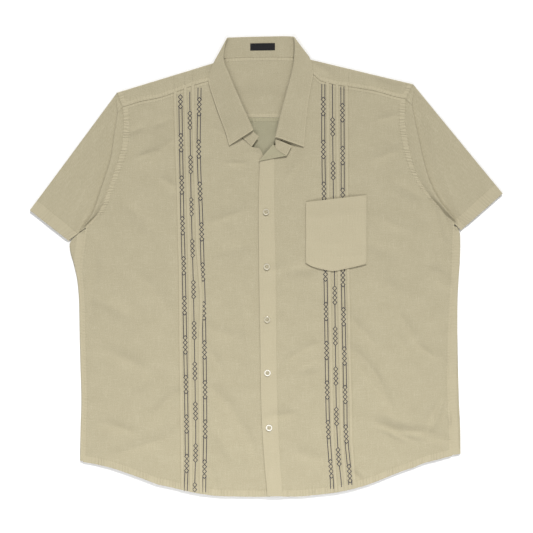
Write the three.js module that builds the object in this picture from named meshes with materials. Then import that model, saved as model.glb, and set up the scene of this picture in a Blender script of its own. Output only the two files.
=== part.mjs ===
// A short-sleeve button-front shirt laid flat on its back, in millimetres.
// +Y runs from hem to neck, +Z up from the surface, and the wearer's right is at -X.
// Each piece is a thin closed wall around a grid of points worked out from the tables below.
import * as THREE from 'three';

// Driving dimensions
const WALL = 1.2;
const SEAM = 0.3;
const LAYER = WALL + SEAM;
const REST = WALL / 2;
const TURN = 1.6;
const TOP = REST + 2 * TURN;
const LOWEST = REST + LAYER + 0.1;
const FILL = 1.3;
const FILL_REACH = 45;
const NECK_RISE = 1.6;
const NECK_REACH = 95;
const LIFT = LAYER + 0.4;
const TUCK_WIDTH = 5;
const TUCK_RISE = 0.9;
const TUCK_SLOPE = 0.6;
const POCKET_LIFT = LAYER + 1.2;
const POCKET_GAPE = 1.6;
const BUTTON_RADIUS = 5.6;
const BUTTON_HEIGHT = 2.4;
const LEAF_ROLL = 1.4;
const BAND_BACK = REST + 2 * LEAF_ROLL;
const BAND_RISE = 2.2;
const BAND_SHORT = 0.95;
const LEAF_FULLER = 0.45;
const LEAF_GAP = 0.7;
const LABEL_WALL = 0.6;
const LAPEL_ROLL = 0.3;

// The middle of the box that holds the shirt, taken off every point
const MIDDLE = { x: -0.46, y: -0.02 };
const NECK_MIDDLE = { x: -8, y: 318 };
const BACK_SEAM = 267;

// Rows of each front from hem to yoke: its outer edge, side seam then armhole,
// and its inner edge, front edge then neck
const RIGHT_FRONT_ROWS = [
  { outerX: -330, outerY: -352, innerX: 9, innerY: -412 },
  { outerX: -328.8, outerY: -294, innerX: 9, innerY: -345 },
  { outerX: -327.3, outerY: -236, innerX: 9, innerY: -280 },
  { outerX: -328.8, outerY: -180, innerX: 8, innerY: -215 },
  { outerX: -330.4, outerY: -120, innerX: 8, innerY: -150 },
  { outerX: -331.4, outerY: -62, innerX: 8, innerY: -85 },
  { outerX: -335, outerY: -12, innerX: 7, innerY: -25 },
  { outerX: -330.5, outerY: 32, innerX: 6, innerY: 35 },
  { outerX: -323.1, outerY: 72, innerX: 5, innerY: 90 },
  { outerX: -297.9, outerY: 103.5, innerX: 3, innerY: 135 },
  { outerX: -277.2, outerY: 158.4, innerX: -1, innerY: 176 },
  { outerX: -260.5, outerY: 209, innerX: -11, innerY: 209 },
  { outerX: -257.2, outerY: 234, innerX: -27, innerY: 215 },
  { outerX: -256.4, outerY: 252, innerX: -54, innerY: 242 },
  { outerX: -256.8, outerY: 270, innerX: -82, innerY: 293.4 },
  { outerX: -258.3, outerY: 288, innerX: -94, innerY: 335 },
];
const LEFT_FRONT_ROWS = [
  { outerX: 333, outerY: -342.5, innerX: 27.5, innerY: -413.1 },
  { outerX: 331, outerY: -285, innerX: 22.1, innerY: -342 },
  { outerX: 329, outerY: -230, innerX: 18.5, innerY: -273.6 },
  { outerX: 329, outerY: -175, innerX: 16.7, innerY: -205.2 },
  { outerX: 330, outerY: -120, innerX: 15.8, innerY: -133.2 },
  { outerX: 333, outerY: -65, innerX: 15, innerY: -70 },
  { outerX: 336, outerY: -25, innerX: 14.4, innerY: -9 },
  { outerX: 337, outerY: 30, innerX: 13, innerY: 60 },
  { outerX: 336.3, outerY: 79, innerX: 12.2, innerY: 118.8 },
  { outerX: 314.1, outerY: 104.4, innerX: 12.3, innerY: 152 },
  { outerX: 289.8, outerY: 131.4, innerX: 12.6, innerY: 184 },
  { outerX: 267, outerY: 172, innerX: 13.5, innerY: 214 },
  { outerX: 254.7, outerY: 216, innerX: 31.5, innerY: 228.6 },
  { outerX: 250.2, outerY: 244.8, innerX: 48.6, innerY: 246 },
  { outerX: 248.2, outerY: 267.3, innerX: 60.6, innerY: 280 },
  { outerX: 248.4, outerY: 285, innerX: 70, innerY: 318 },
  { outerX: 249.8, outerY: 302.4, innerX: 72.5, innerY: 350 },
];
const UNDERARM_ROW = 8;
const ROWS_BETWEEN = 2;
const SPREAD = 5;

// The curved hem, and the seams between yoke and fronts
const HEM = [
  { x: -333.9, y: -351.9 }, { x: -281.7, y: -361.8 }, { x: -238.5, y: -376.2 },
  { x: -195.3, y: -392.4 }, { x: -108.9, y: -410.4 }, { x: -51.3, y: -414 },
  { x: 20.7, y: -414 }, { x: 78.3, y: -412.2 }, { x: 164.7, y: -397.8 },
  { x: 265.5, y: -361.8 }, { x: 308.7, y: -347.4 }, { x: 349.2, y: -338.4 },
];
const RIGHT_YOKE_SEAM = [
  { x: -258.3, y: 288 }, { x: -227.7, y: 297 }, { x: -191.7, y: 304.2 },
  { x: -162.9, y: 314.3 }, { x: -124.4, y: 328 }, { x: -94, y: 335 },
];
const LEFT_YOKE_SEAM = [
  { x: 72.5, y: 350 }, { x: 83.7, y: 345.6 }, { x: 96.3, y: 334.8 },
  { x: 119.7, y: 327.6 }, { x: 191.7, y: 316.8 }, { x: 249.8, y: 302.4 },
];

// Middle lines of the sewn tucks, the outermost first
const RIGHT_TUCKS = [
  { y: -420, first: -152.6, second: -137, third: -119.8 },
  { y: 30, first: -158.4, second: -141.3, third: -124.2 },
  { y: 330, first: -166.5, second: -148, third: -131.2 },
];
const LEFT_TUCKS = [
  { y: -420, first: 161, second: 144, third: 128 },
  { y: -313, first: 153.9, second: 135.9, third: 118.8 },
  { y: 83, first: 146.5, second: 129.4, third: 111.1 },
  { y: 350, first: 145.6, second: 128.6, third: 110.4 },
];
const TUCK_NAMES = ['first', 'second', 'third'];

// Folded sides of the body below the arms, seen from above. The cloth of the back turns over them
// and runs on to the side seams.
const SIDES = [
  { y: -352, left: -335, right: 348.5 }, { y: -295, left: -333.9, right: 348 },
  { y: -240, left: -332.4, right: 345.5 }, { y: -180, left: -334, right: 344 },
  { y: -115, left: -335.6, right: 342.9 }, { y: -61, left: -336.6, right: 343.2 },
  { y: -25, left: -339.8, right: 345 }, { y: 4, left: -346, right: 347 },
  { y: 30, left: -353, right: 348 }, { y: 44, left: -352, right: 348 },
  { y: 58, left: -338, right: 347.5 }, { y: 66, left: -327.5, right: 345 },
  { y: 72, left: -322, right: 341 },
];

// Ends of the two side folds, and the place under the collar where the back is lifted by the leaf
const SIDE_FOLDS = { hemLeft: -350, armLeft: 65.5, hemRight: -337.5, armRight: 71, inside: 1.5 };
const UNDER_COLLAR = { left: -98, right: 82, front: 340, flat: 12, fade: 26 };

// Shoulder folds: the sleeve end, and the neck end
const RIGHT_SHOULDER = { tipX: -268.2, tipY: 311.4, neckX: -88, neckY: 366.5 };
const LEFT_SHOULDER = { tipX: 263, tipY: 326.5, neckX: 71.5, neckY: 372.5 };

// Sleeve openings: the two corners of each hem, and how far past the armhole seam its fold drops
const RIGHT_CUFF = { outerX: -425.1, outerY: 99.9, innerX: -357.3, innerY: 46.6 };
const LEFT_CUFF = { outerX: 424.2, outerY: 130, innerX: 351.2, innerY: 65.8 };
const LEDGE = [
  { along: 0, right: 8, left: 8 }, { along: 0.25, right: 21, left: 29 },
  { along: 0.5, right: 22, left: 28 }, { along: 0.75, right: 14, left: 17 },
  { along: 1, right: 16, left: 9 },
];
const LEDGE_RISE = 1.8;
const LEDGE_DROP = 2.1;
const SLEEVE_FILL = 0.9;

// The left front lies over the right one as far as here, and comes down to it over this width
const LAP = { from: 14, over: 38 };

// Largest creases of the upper layer: below zero a trough, above zero a ridge
const CREASES = [
  { x: -227.7, y: 180, toX: -164.7, toY: 228.6, height: -1.1, width: 11 },
  { x: -112.5, y: 74.7, toX: -33, toY: 100.8, height: -1, width: 10 },
  { x: 4.5, y: -8, toX: 40, toY: -5, height: -0.8, width: 9 },
  { x: -4, y: -274, toX: 42, toY: -263, height: -0.9, width: 10 },
  { x: -101.7, y: -214, toX: -63.9, toY: -253.8, height: -1.2, width: 13 },
  { x: -63.9, y: -253.8, toX: -20, toY: -330, height: -1.3, width: 13 },
  { x: -155.7, y: -217.8, toX: -200.7, toY: -285, height: -1.2, width: 12 },
  { x: -173.7, y: -306, toX: -278, toY: -342, height: -1.3, width: 12 },
  { x: 152, y: -143, toX: 213.3, toY: -237.6, height: -1.2, width: 12 },
  { x: 198.2, y: -282.6, toX: 264, toY: -314, height: -1.7, width: 11 },
  { x: 205, y: -264, toX: 268, toY: -292, height: 1.5, width: 14 },
  { x: 243, y: -293.4, toX: 321.3, toY: -306, height: -1.4, width: 9 },
  { x: 305.1, y: -252, toX: 288.9, toY: -286.2, height: -1.3, width: 10 },
  { x: 297.9, y: 113.4, toX: 319.5, toY: 45, height: -1.3, width: 11 },
  { x: 319.5, y: 45, toX: 330, toY: 0, height: -1.1, width: 10 },
  { x: 300.4, y: -14.4, toX: 328, toY: -32, height: -1.1, width: 10 },
  { x: -291.4, y: 99, toX: -306.2, toY: 34.2, height: -1.2, width: 11 },
  { x: -306.2, y: 34.2, toX: -312, toY: -42.3, height: -1, width: 10 },
  { x: 92, y: 364, toX: 119.7, toY: 342, height: -0.8, width: 9 },
  { x: 189.9, y: 334.8, toX: 240.3, toY: 307.8, height: -1, width: 10 },
];

// Front edge of the placket, worn on the left, and the part of it that is turned out at the top
const PLACKET_EDGE = [
  { y: -414, x: 1.4 }, { y: -342, x: -4.5 }, { y: -273.6, x: -8.6 }, { y: -205.2, x: -10.4 },
  { y: -133.2, x: -11.3 }, { y: -7.2, x: -13.5 }, { y: 118.8, x: -14.2 }, { y: 190, x: -12 },
];
const LAPEL = {
  low: { x: -12, y: 188.5 },
  high: { x: 13.2, y: 217.5 },
  tip: { x: 36, y: 197.6 },
  seam: { x: 15.4, y: 212.6 },
};
const LAPEL_ROWS = [0.35, 0.7, 1];
const STRIP = [0, 0.12, 0.5, 0.88, 1];
const BUTTONS = [
  { x: -0.7, y: 96.8 }, { x: 0.5, y: -1.4 }, { x: 1.3, y: -96.3 },
  { x: 1.8, y: -191.9 }, { x: 4.6, y: -290.3 },
];
const POCKET = [
  { x: 70.5, top: 114.6, bottom: 5.5 }, { x: 82.8, top: 116, bottom: -1.2 },
  { x: 103, top: 118.4, bottom: -6.5 }, { x: 120.6, top: 120.4, bottom: -9 },
  { x: 147, top: 123.4, bottom: -4 }, { x: 165, top: 125.5, bottom: 0 },
  { x: 179.4, top: 127.1, bottom: 3.8 },
];
const LABEL = { left: -29.2, right: 15.3, near: 0.31, far: 0.69 };

// Sections round the collar from the wearer's right end to the left end: where its band is sewn on,
// where leaf and band fold, and the leaf's edge; level is 1 on the front, above, and 0 behind the neck
const COLLAR = [
  { seamX: -25.5, seamY: 215.6, foldX: -13.7, foldY: 232.7, edgeX: -60, edgeY: 214, level: 1 },
  { seamX: -39.5, seamY: 228.4, foldX: -25, foldY: 243, edgeX: -67, edgeY: 216, level: 1 },
  { seamX: -53.4, seamY: 242.6, foldX: -31.5, foldY: 257.4, edgeX: -73.8, edgeY: 241, level: 1 },
  { seamX: -69.3, seamY: 268, foldX: -42.3, foldY: 280.8, edgeX: -84, edgeY: 268, level: 1 },
  { seamX: -81.3, seamY: 293.7, foldX: -54.9, foldY: 309.6, edgeX: -94, edgeY: 297, level: 1 },
  { seamX: -88.4, seamY: 316, foldX: -67.5, foldY: 340.2, edgeX: -102, edgeY: 322, level: 1 },
  { seamX: -93, seamY: 337, foldX: -77.2, foldY: 365.4, edgeX: -104, edgeY: 338, level: 1 },
  { seamX: -90, seamY: 355, foldX: -76.5, foldY: 384, edgeX: -99.5, edgeY: 354, level: 1 },
  { seamX: -86, seamY: 364.5, foldX: -73.5, foldY: 397, edgeX: -95, edgeY: 364.5, level: 0.95 },
  { seamX: -84.5, seamY: 370, foldX: -70, foldY: 405, edgeX: -92.5, edgeY: 369, level: 0.8 },
  { seamX: -82, seamY: 372.2, foldX: -67.5, foldY: 407.6, edgeX: -91, edgeY: 370.4, level: 0.5 },
  { seamX: -78, seamY: 373.7, foldX: -64, foldY: 408.8, edgeX: -89, edgeY: 369, level: 0.2 },
  { seamX: -72, seamY: 374.7, foldX: -58, foldY: 409.4, edgeX: -84, edgeY: 358, level: 0.03 },
  { seamX: -58, seamY: 375.6, foldX: -45, foldY: 410, edgeX: -68, edgeY: 349, level: 0 },
  { seamX: -33, seamY: 376.6, foldX: -27, foldY: 410.4, edgeX: -38, edgeY: 345, level: 0 },
  { seamX: -7, seamY: 377, foldX: -9, foldY: 410.8, edgeX: -9, edgeY: 344, level: 0 },
  { seamX: 20, seamY: 377, foldX: 11, foldY: 411.2, edgeX: 20, edgeY: 346, level: 0 },
  { seamX: 43, seamY: 376.6, foldX: 28, foldY: 411.6, edgeX: 50, edgeY: 351, level: 0 },
  { seamX: 55, seamY: 376.2, foldX: 38, foldY: 411.4, edgeX: 67, edgeY: 361, level: 0.03 },
  { seamX: 61, seamY: 375.9, foldX: 43.5, foldY: 410.6, edgeX: 72.5, edgeY: 374, level: 0.2 },
  { seamX: 65.5, seamY: 375.2, foldX: 47, foldY: 409, edgeX: 74.5, edgeY: 376.6, level: 0.5 },
  { seamX: 68.5, seamY: 374, foldX: 49.2, foldY: 406.5, edgeX: 76.5, edgeY: 375.6, level: 0.8 },
  { seamX: 69.8, seamY: 369, foldX: 50.8, foldY: 399, edgeX: 79, edgeY: 370, level: 0.95 },
  { seamX: 70.6, seamY: 358, foldX: 51.2, foldY: 384, edgeX: 81.8, edgeY: 357, level: 1 },
  { seamX: 71.2, seamY: 342, foldX: 49.5, foldY: 362, edgeX: 83, edgeY: 342, level: 1 },
  { seamX: 69, seamY: 319, foldX: 44.1, foldY: 335, edgeX: 79.6, edgeY: 322.2, level: 1 },
  { seamX: 64.6, seamY: 296, foldX: 36.9, foldY: 307.8, edgeX: 75.6, edgeY: 298.8, level: 1 },
  { seamX: 57.6, seamY: 273.6, foldX: 28.8, foldY: 278, edgeX: 72, edgeY: 272, level: 1 },
  { seamX: 47.4, seamY: 247, foldX: 22.5, foldY: 252, edgeX: 69.3, edgeY: 243, level: 1 },
  { seamX: 30.4, seamY: 230.6, foldX: 17.1, foldY: 230, edgeX: 67.1, edgeY: 213.7, level: 1 },
  { seamX: 16.2, seamY: 214.4, foldX: 17.6, foldY: 227.4, edgeX: 66, edgeY: 213, level: 1 },
  { seamX: 36.8, seamY: 198.8, foldX: 45.5, foldY: 215.6, edgeX: 66, edgeY: 212, level: 1 },
];
const LEAF_FIRST = 1;
const LEAF_LAST = 29;
const TURNED_OUT = 30;

// Rows of the collar that lie behind the neck
const BEHIND_FIRST = 12;
const BEHIND_LAST = 18;
const BEHIND_NECK = COLLAR.slice(BEHIND_FIRST, BEHIND_LAST + 1);

// Colour and roughness of each finish
const FINISHES = {
  cloth: { color: '#c2b896', roughness: 0.92 },
  inside: { color: '#b4aa84', roughness: 0.92 },
  label: { color: '#1d1b1c', roughness: 0.8 },
  button: { color: '#e3ddc8', roughness: 0.35 },
};

const lerp = (a, b, t) => a + (b - a) * t;
const clamp = (value, low, high) => Math.min(high, Math.max(low, value));
const smooth = (t) => {
  const s = clamp(t, 0, 1);
  return s * s * (3 - 2 * s);
};

// Value of a table's column at a place between its rows, eased through the rows around it
function through(table, column, place) {
  const last = table.length - 1;
  const at = clamp(place, 0, last);
  const row = Math.min(Math.floor(at), last - 1);
  const t = at - row;
  const [a, b, c, d] = [row - 1, row, row + 1, row + 2].map((r) => table[clamp(r, 0, last)][column]);
  const bend = (2 * a - 5 * b + 4 * c - d) * t * t + (3 * b - a - 3 * c + d) * t * t * t;
  return b + 0.5 * ((c - a) * t + bend);
}

// The same, found by the value of another column that grows or falls from row to row
function lookup(table, key, value, column) {
  const sign = Math.sign(table[table.length - 1][key] - table[0][key]);
  let row = 0;
  while (row < table.length - 2 && sign * (value - table[row + 1][key]) > 0) row += 1;
  const t = clamp((value - table[row][key]) / (table[row + 1][key] - table[row][key]), 0, 1);
  return through(table, column, row + t);
}

// Depth of the creases at a place of the upper layer
function relief(x, y) {
  let sum = 0;
  for (const crease of CREASES) {
    const runX = crease.toX - crease.x;
    const runY = crease.toY - crease.y;
    const t = clamp(((x - crease.x) * runX + (y - crease.y) * runY) / (runX ** 2 + runY ** 2), 0, 1);
    const off = Math.hypot(x - crease.x - runX * t, y - crease.y - runY * t);
    sum += crease.height * Math.exp(-((off / crease.width) ** 2)) * Math.sin(Math.PI * (0.15 + 0.7 * t));
  }
  return sum;
}

function shoulderLine(x) {
  const right = RIGHT_SHOULDER;
  const left = LEFT_SHOULDER;
  const rightSlope = (right.neckY - right.tipY) / (right.neckX - right.tipX);
  const leftSlope = (left.neckY - left.tipY) / (left.neckX - left.tipX);
  const fromRight = right.neckY + (x - right.neckX) * rightSlope;
  const fromLeft = left.neckY + (x - left.neckX) * leftSlope;
  return Math.min(fromRight, fromLeft, left.neckY);
}

// Height of the middle of the upper layer: the fronts, and the yoke before the shoulder folds
function lie(x, y) {
  const left = lookup(SIDES, 'y', y, 'left');
  const right = lookup(SIDES, 'y', y, 'right');
  const inward = Math.max(0, Math.min(x - left, right - x, shoulderLine(x) - y));
  const fill = FILL * (1 - Math.exp(-((inward / FILL_REACH) ** 2)));
  const toNeck = Math.hypot(x - NECK_MIDDLE.x, y - NECK_MIDDLE.y) / NECK_REACH;
  return Math.max(LOWEST, TOP + fill + NECK_RISE * Math.exp(-(toNeck ** 4)) + relief(x, y));
}

const point = (x, y, z) => new THREE.Vector3(x, y, z);

// Closed wall around a grid of its middle points. Rows that are closed join the last to the first,
// present tells which cells of the grid are cloth, and raised thickens the outer side.
function shell(grid, { wall = WALL, closed = false, present = () => true, raised = () => 0 } = {}) {
  const rows = grid.length;
  const columns = grid[0].length;
  const rowAt = (i) => (closed ? (i + rows) % rows : clamp(i, 0, rows - 1));
  const outer = [];
  const inner = [];
  for (let i = 0; i < rows; i += 1) {
    for (let j = 0; j < columns; j += 1) {
      const along = grid[rowAt(i + 1)][j].clone().sub(grid[rowAt(i - 1)][j]);
      const across = grid[i][Math.min(j + 1, columns - 1)].clone().sub(grid[i][Math.max(j - 1, 0)]);
      const normal = along.cross(across).normalize();
      const lean = smooth((1 - Math.abs(normal.z)) / 0.15);
      normal.set(normal.x * lean, normal.y * lean, normal.z).normalize();
      outer.push(grid[i][j].clone().addScaledVector(normal, wall / 2 + raised(i, j)));
      inner.push(grid[i][j].clone().addScaledVector(normal, -wall / 2));
    }
  }
  const points = [...outer, ...inner];
  const out = (i, j) => rowAt(i) * columns + j;
  const back = (i, j) => outer.length + out(i, j);
  const index = [];
  const quad = (a, b, c, d) => index.push(a, b, c, a, c, d);
  const cells = closed ? rows : rows - 1;
  const cloth = (i, j) => {
    if (j < 0 || j >= columns - 1) return false;
    if (!closed && (i < 0 || i >= cells)) return false;
    return present(rowAt(i), j);
  };
  for (let i = 0; i < cells; i += 1) {
    for (let j = 0; j < columns - 1; j += 1) {
      if (!cloth(i, j)) continue;
      quad(out(i, j), out(i + 1, j), out(i + 1, j + 1), out(i, j + 1));
      quad(back(i, j), back(i, j + 1), back(i + 1, j + 1), back(i + 1, j));
      if (!cloth(i, j - 1)) quad(back(i, j), back(i + 1, j), out(i + 1, j), out(i, j));
      if (!cloth(i, j + 1)) quad(out(i, j + 1), out(i + 1, j + 1), back(i + 1, j + 1), back(i, j + 1));
      if (!cloth(i - 1, j)) quad(out(i, j), out(i, j + 1), back(i, j + 1), back(i, j));
      if (!cloth(i + 1, j)) quad(back(i + 1, j), back(i + 1, j + 1), out(i + 1, j + 1), out(i + 1, j));
    }
  }
  const used = [...new Set(index)];
  const place = new Map(used.map((old, next) => [old, next]));
  const geometry = new THREE.BufferGeometry();
  const positions = used.flatMap((k) => points[k].toArray());
  geometry.setAttribute('position', new THREE.Float32BufferAttribute(positions, 3));
  geometry.setIndex(index.map((k) => place.get(k)));
  geometry.translate(-MIDDLE.x, -MIDDLE.y, 0);
  geometry.computeVertexNormals();
  return geometry;
}

// Grid of a front: rows from hem to yoke, columns from the outer to the inner edge
function frontGrid(table, tucks, seam, lift) {
  const last = (table.length - 1) * ROWS_BETWEEN;
  const spread = Array.from({ length: SPREAD }, (none, k) => (k + 1) / (SPREAD + 1));
  const grid = [];
  const end = (name, v) => ({ x: through(table, `${name}X`, v), y: through(table, `${name}Y`, v) });
  const chord = (x, v) => {
    const a = end('outer', v);
    const b = end('inner', v);
    return lerp(a.y, b.y, (x - a.x) / (b.x - a.x));
  };
  for (let i = 0; i <= last; i += 1) {
    const v = i / ROWS_BETWEEN;
    const t = i / last;
    const from = end('outer', v);
    const to = end('inner', v);
    const inward = Math.sign(to.x - from.x);
    const rowY = (x) => {
      const hem = (lookup(HEM, 'x', x, 'y') - chord(x, 0)) * (1 - t) ** 3;
      const head = (lookup(seam, 'x', x, 'y') - chord(x, table.length - 1)) * t ** 4;
      return chord(x, v) + hem + head;
    };
    const tuckAt = (name) => {
      let x = tucks[1][name];
      for (let turn = 0; turn < 3; turn += 1) x = lookup(tucks, 'y', rowY(x), name);
      return x;
    };
    const half = TUCK_WIDTH / 2;
    const steps = [-half - TUCK_SLOPE, -half, half, half + TUCK_SLOPE];
    const tuckLines = TUCK_NAMES.flatMap((name) => steps.map((step) => tuckAt(name) + inward * step));
    const before = spread.map((part) => lerp(from.x, tuckLines[0], part));
    const after = spread.map((part) => lerp(tuckLines[tuckLines.length - 1], to.x, part));
    const row = [from.x, ...before, ...tuckLines, ...after, to.x].map((x) => {
      const y = rowY(x);
      return point(x, y, lie(x, y) + lift(x, y));
    });
    row[0].y = i === 0 ? lookup(HEM, 'x', from.x, 'y') : from.y;
    row[row.length - 1].y = to.y;
    grid.push(row);
  }
  return grid;
}
// Of a tuck's four columns the middle two are raised. They count alike from either edge of a front.
const FIRST_TUCK = SPREAD + 1;
const TUCK_COLUMNS = 4 * TUCK_NAMES.length;
const tuckRise = (i, j) => {
  const k = j - FIRST_TUCK;
  return k >= 0 && k < TUCK_COLUMNS && (k % 4 === 1 || k % 4 === 2) ? TUCK_RISE : 0;
};

const lapped = (x) => LIFT * (1 - smooth((x - LAP.from) / LAP.over));
const rightFront = frontGrid(RIGHT_FRONT_ROWS, RIGHT_TUCKS, RIGHT_YOKE_SEAM, () => 0);
const leftFront = frontGrid(LEFT_FRONT_ROWS, LEFT_TUCKS, LEFT_YOKE_SEAM, lapped);
const outerEdge = (grid) => grid.map((row) => row[0]);
const underarm = UNDERARM_ROW * ROWS_BETWEEN;

// The back lies on the surface. Its sides fold up and over as far as the side seams.
function backLift(x, y) {
  const beside = Math.max(UNDER_COLLAR.left - x, x - UNDER_COLLAR.right, 0);
  const before = Math.max(UNDER_COLLAR.front - y, 0);
  return REST + LAYER * (1 - smooth((Math.hypot(beside, before) - UNDER_COLLAR.flat) / UNDER_COLLAR.fade));
}
const BACK_COLUMNS = 9;
const WRAP_COLUMNS = 5;
const SIDE_ROWS = 17;
const ARM_ROWS = 11;
function backGrid() {
  const rows = [];
  const { hemLeft, hemRight } = SIDE_FOLDS;
  const fold = (edge, seam, y, inward) => {
    const roll = [90, 45, 0, -45].map((degrees) => {
      const angle = THREE.MathUtils.degToRad(degrees);
      return point(edge + inward * TURN * (1 - Math.cos(angle)), y, REST + TURN + TURN * Math.sin(angle));
    });
    const reach = Math.max(Math.abs(seam - edge) - 3 * SEAM, TURN + 0.6);
    return [point(edge + inward * reach, y, TOP), ...roll];
  };
  const armPoint = (table, t) => {
    const count = table.length - 1 - UNDERARM_ROW;
    let low = 0;
    let high = 1;
    for (let turn = 0; turn < 30; turn += 1) {
      const middle = (low + high) / 2;
      if (through(table, 'outerY', UNDERARM_ROW + middle * count) < BACK_SEAM) low = middle;
      else high = middle;
    }
    const v = UNDERARM_ROW + t * low * count;
    return { x: through(table, 'outerX', v), y: through(table, 'outerY', v) };
  };
  const flat = (left, right) => {
    const row = [];
    for (let k = 0; k <= BACK_COLUMNS; k += 1) {
      const x = lerp(left.x, right.x, k / BACK_COLUMNS);
      row.push(point(x, lerp(left.y, right.y, k / BACK_COLUMNS), REST));
    }
    return row;
  };
  for (let i = 0; i <= SIDE_ROWS; i += 1) {
    const t = i / SIDE_ROWS;
    const leftY = lerp(hemLeft, SIDE_FOLDS.armLeft, t);
    const rightY = lerp(hemRight, SIDE_FOLDS.armRight, t);
    const leftEdge = lookup(SIDES, 'y', leftY, 'left');
    const rightEdge = lookup(SIDES, 'y', rightY, 'right');
    const leftSeam = lookup(RIGHT_FRONT_ROWS, 'outerY', leftY, 'outerX');
    const rightSeam = lookup(LEFT_FRONT_ROWS, 'outerY', rightY, 'outerX');
    const row = flat({ x: leftEdge + TURN, y: leftY }, { x: rightEdge - TURN, y: rightY });
    const widthAt = (x) => (x - SIDES[0].left) / (SIDES[0].right - SIDES[0].left);
    const fromCorner = (x) => lookup(HEM, 'x', x, 'y') - lerp(hemLeft, hemRight, widthAt(x));
    const hemAt = (x) => (fromCorner(x) + SIDE_FOLDS.inside) * (1 - t) ** 3;
    row.slice(1, -1).forEach((spot) => { spot.y += hemAt(spot.x); });
    const right = fold(rightEdge, rightSeam, rightY, -1).reverse();
    rows.push([...fold(leftEdge, leftSeam, leftY, 1), ...row, ...right]);
  }
  for (let i = 1; i <= ARM_ROWS; i += 1) {
    const left = armPoint(RIGHT_FRONT_ROWS, i / ARM_ROWS);
    const right = armPoint(LEFT_FRONT_ROWS, i / ARM_ROWS);
    const row = flat(left, right);
    const ends = (spot) => Array.from({ length: WRAP_COLUMNS }, () => spot.clone());
    rows.push([...ends(row[0]), ...row, ...ends(row[row.length - 1])]);
  }
  return rows;
}
const back = backGrid();
const backPresent = (i, j) => {
  const inFlat = j >= WRAP_COLUMNS && j < WRAP_COLUMNS + BACK_COLUMNS;
  return inFlat || i < SIDE_ROWS;
};

// The yoke: behind the neck it lies on the surface, then each shoulder folds over to the front
const YOKE_BACK_ROWS = [0, 0.35, 0.7];
const YOKE_FRONT_ROWS = [0.5, 1];
const YOKE_FOOT = { right: { arm: -256.4, neck: -84 }, left: { arm: 248.2, neck: 66 } };
function yokeColumn(foot, fold, front) {
  const toFoot = new THREE.Vector2(foot.x - fold.x, foot.y - fold.y).normalize();
  const toFront = new THREE.Vector2(front.x - fold.x, front.y - fold.y).normalize();
  const low = backLift(fold.x, fold.y);
  const high = lie(fold.x + toFront.x * TURN, fold.y + toFront.y * TURN);
  const middle = (low + high) / 2;
  const rise = (high - low) / 2;
  const lowTurn = { x: fold.x + toFoot.x * TURN, y: fold.y + toFoot.y * TURN };
  const highTurn = { x: fold.x + toFront.x * TURN, y: fold.y + toFront.y * TURN };
  const column = YOKE_BACK_ROWS.map((t) => {
    const x = lerp(foot.x, lowTurn.x, t);
    const y = lerp(foot.y, lowTurn.y, t);
    return point(x, y, backLift(x, y));
  });
  [-90, -45, 0, 45, 90].forEach((degrees) => {
    const angle = THREE.MathUtils.degToRad(degrees);
    const way = degrees < 0 ? toFoot : toFront;
    const inward = TURN * (1 - Math.cos(angle));
    column.push(point(fold.x + way.x * inward, fold.y + way.y * inward, middle + rise * Math.sin(angle)));
  });
  YOKE_FRONT_ROWS.forEach((t) => {
    const x = lerp(highTurn.x, front.x, t);
    const y = lerp(highTurn.y, front.y, t);
    column.push(point(x, y, lie(x, y)));
  });
  return column;
}
function yokeLobe(front, shoulder, backX) {
  const plain = (spot, j) => j < FIRST_TUCK || j >= FIRST_TUCK + TUCK_COLUMNS || (j - FIRST_TUCK) % 4 === 0;
  const head = front[front.length - 1].filter(plain);
  const first = head[0];
  const lastSpot = head[head.length - 1];
  return head.map((spot) => {
    const t = (spot.x - first.x) / (lastSpot.x - first.x);
    const foot = { x: lerp(backX.arm, backX.neck, t), y: BACK_SEAM + SEAM };
    const fold = { x: lerp(shoulder.tipX, shoulder.neckX, t), y: lerp(shoulder.tipY, shoulder.neckY, t) };
    return yokeColumn(foot, fold, { x: spot.x, y: spot.y + SEAM });
  });
}
const NECKLINE = BEHIND_NECK.map((row) => ({ x: row.seamX, y: row.seamY - 2 * SEAM }));
const leftOf = yokeLobe(rightFront, RIGHT_SHOULDER, YOKE_FOOT.right);
const rightOf = yokeLobe(leftFront, LEFT_SHOULDER, YOKE_FOOT.left).reverse();
const neckColumns = NECKLINE.map((spot, k) => {
  const t = (k + 1) / (NECKLINE.length + 1);
  const foot = { x: lerp(YOKE_FOOT.right.neck, YOKE_FOOT.left.neck, t), y: BACK_SEAM + SEAM };
  const column = yokeColumn(foot, spot, spot);
  return column.map((old, j) => {
    const way = j < YOKE_BACK_ROWS.length ? YOKE_BACK_ROWS[j] : 1;
    const x = lerp(foot.x, spot.x, way);
    const y = lerp(foot.y, spot.y, way);
    return point(x, y, backLift(x, y));
  });
});
const yoke = [...leftOf, ...neckColumns, ...rightOf];
const yokePresent = (i, j) => {
  const lobe = i < leftOf.length - 1 || i >= leftOf.length + neckColumns.length;
  return j < YOKE_BACK_ROWS.length || lobe;
};

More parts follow.
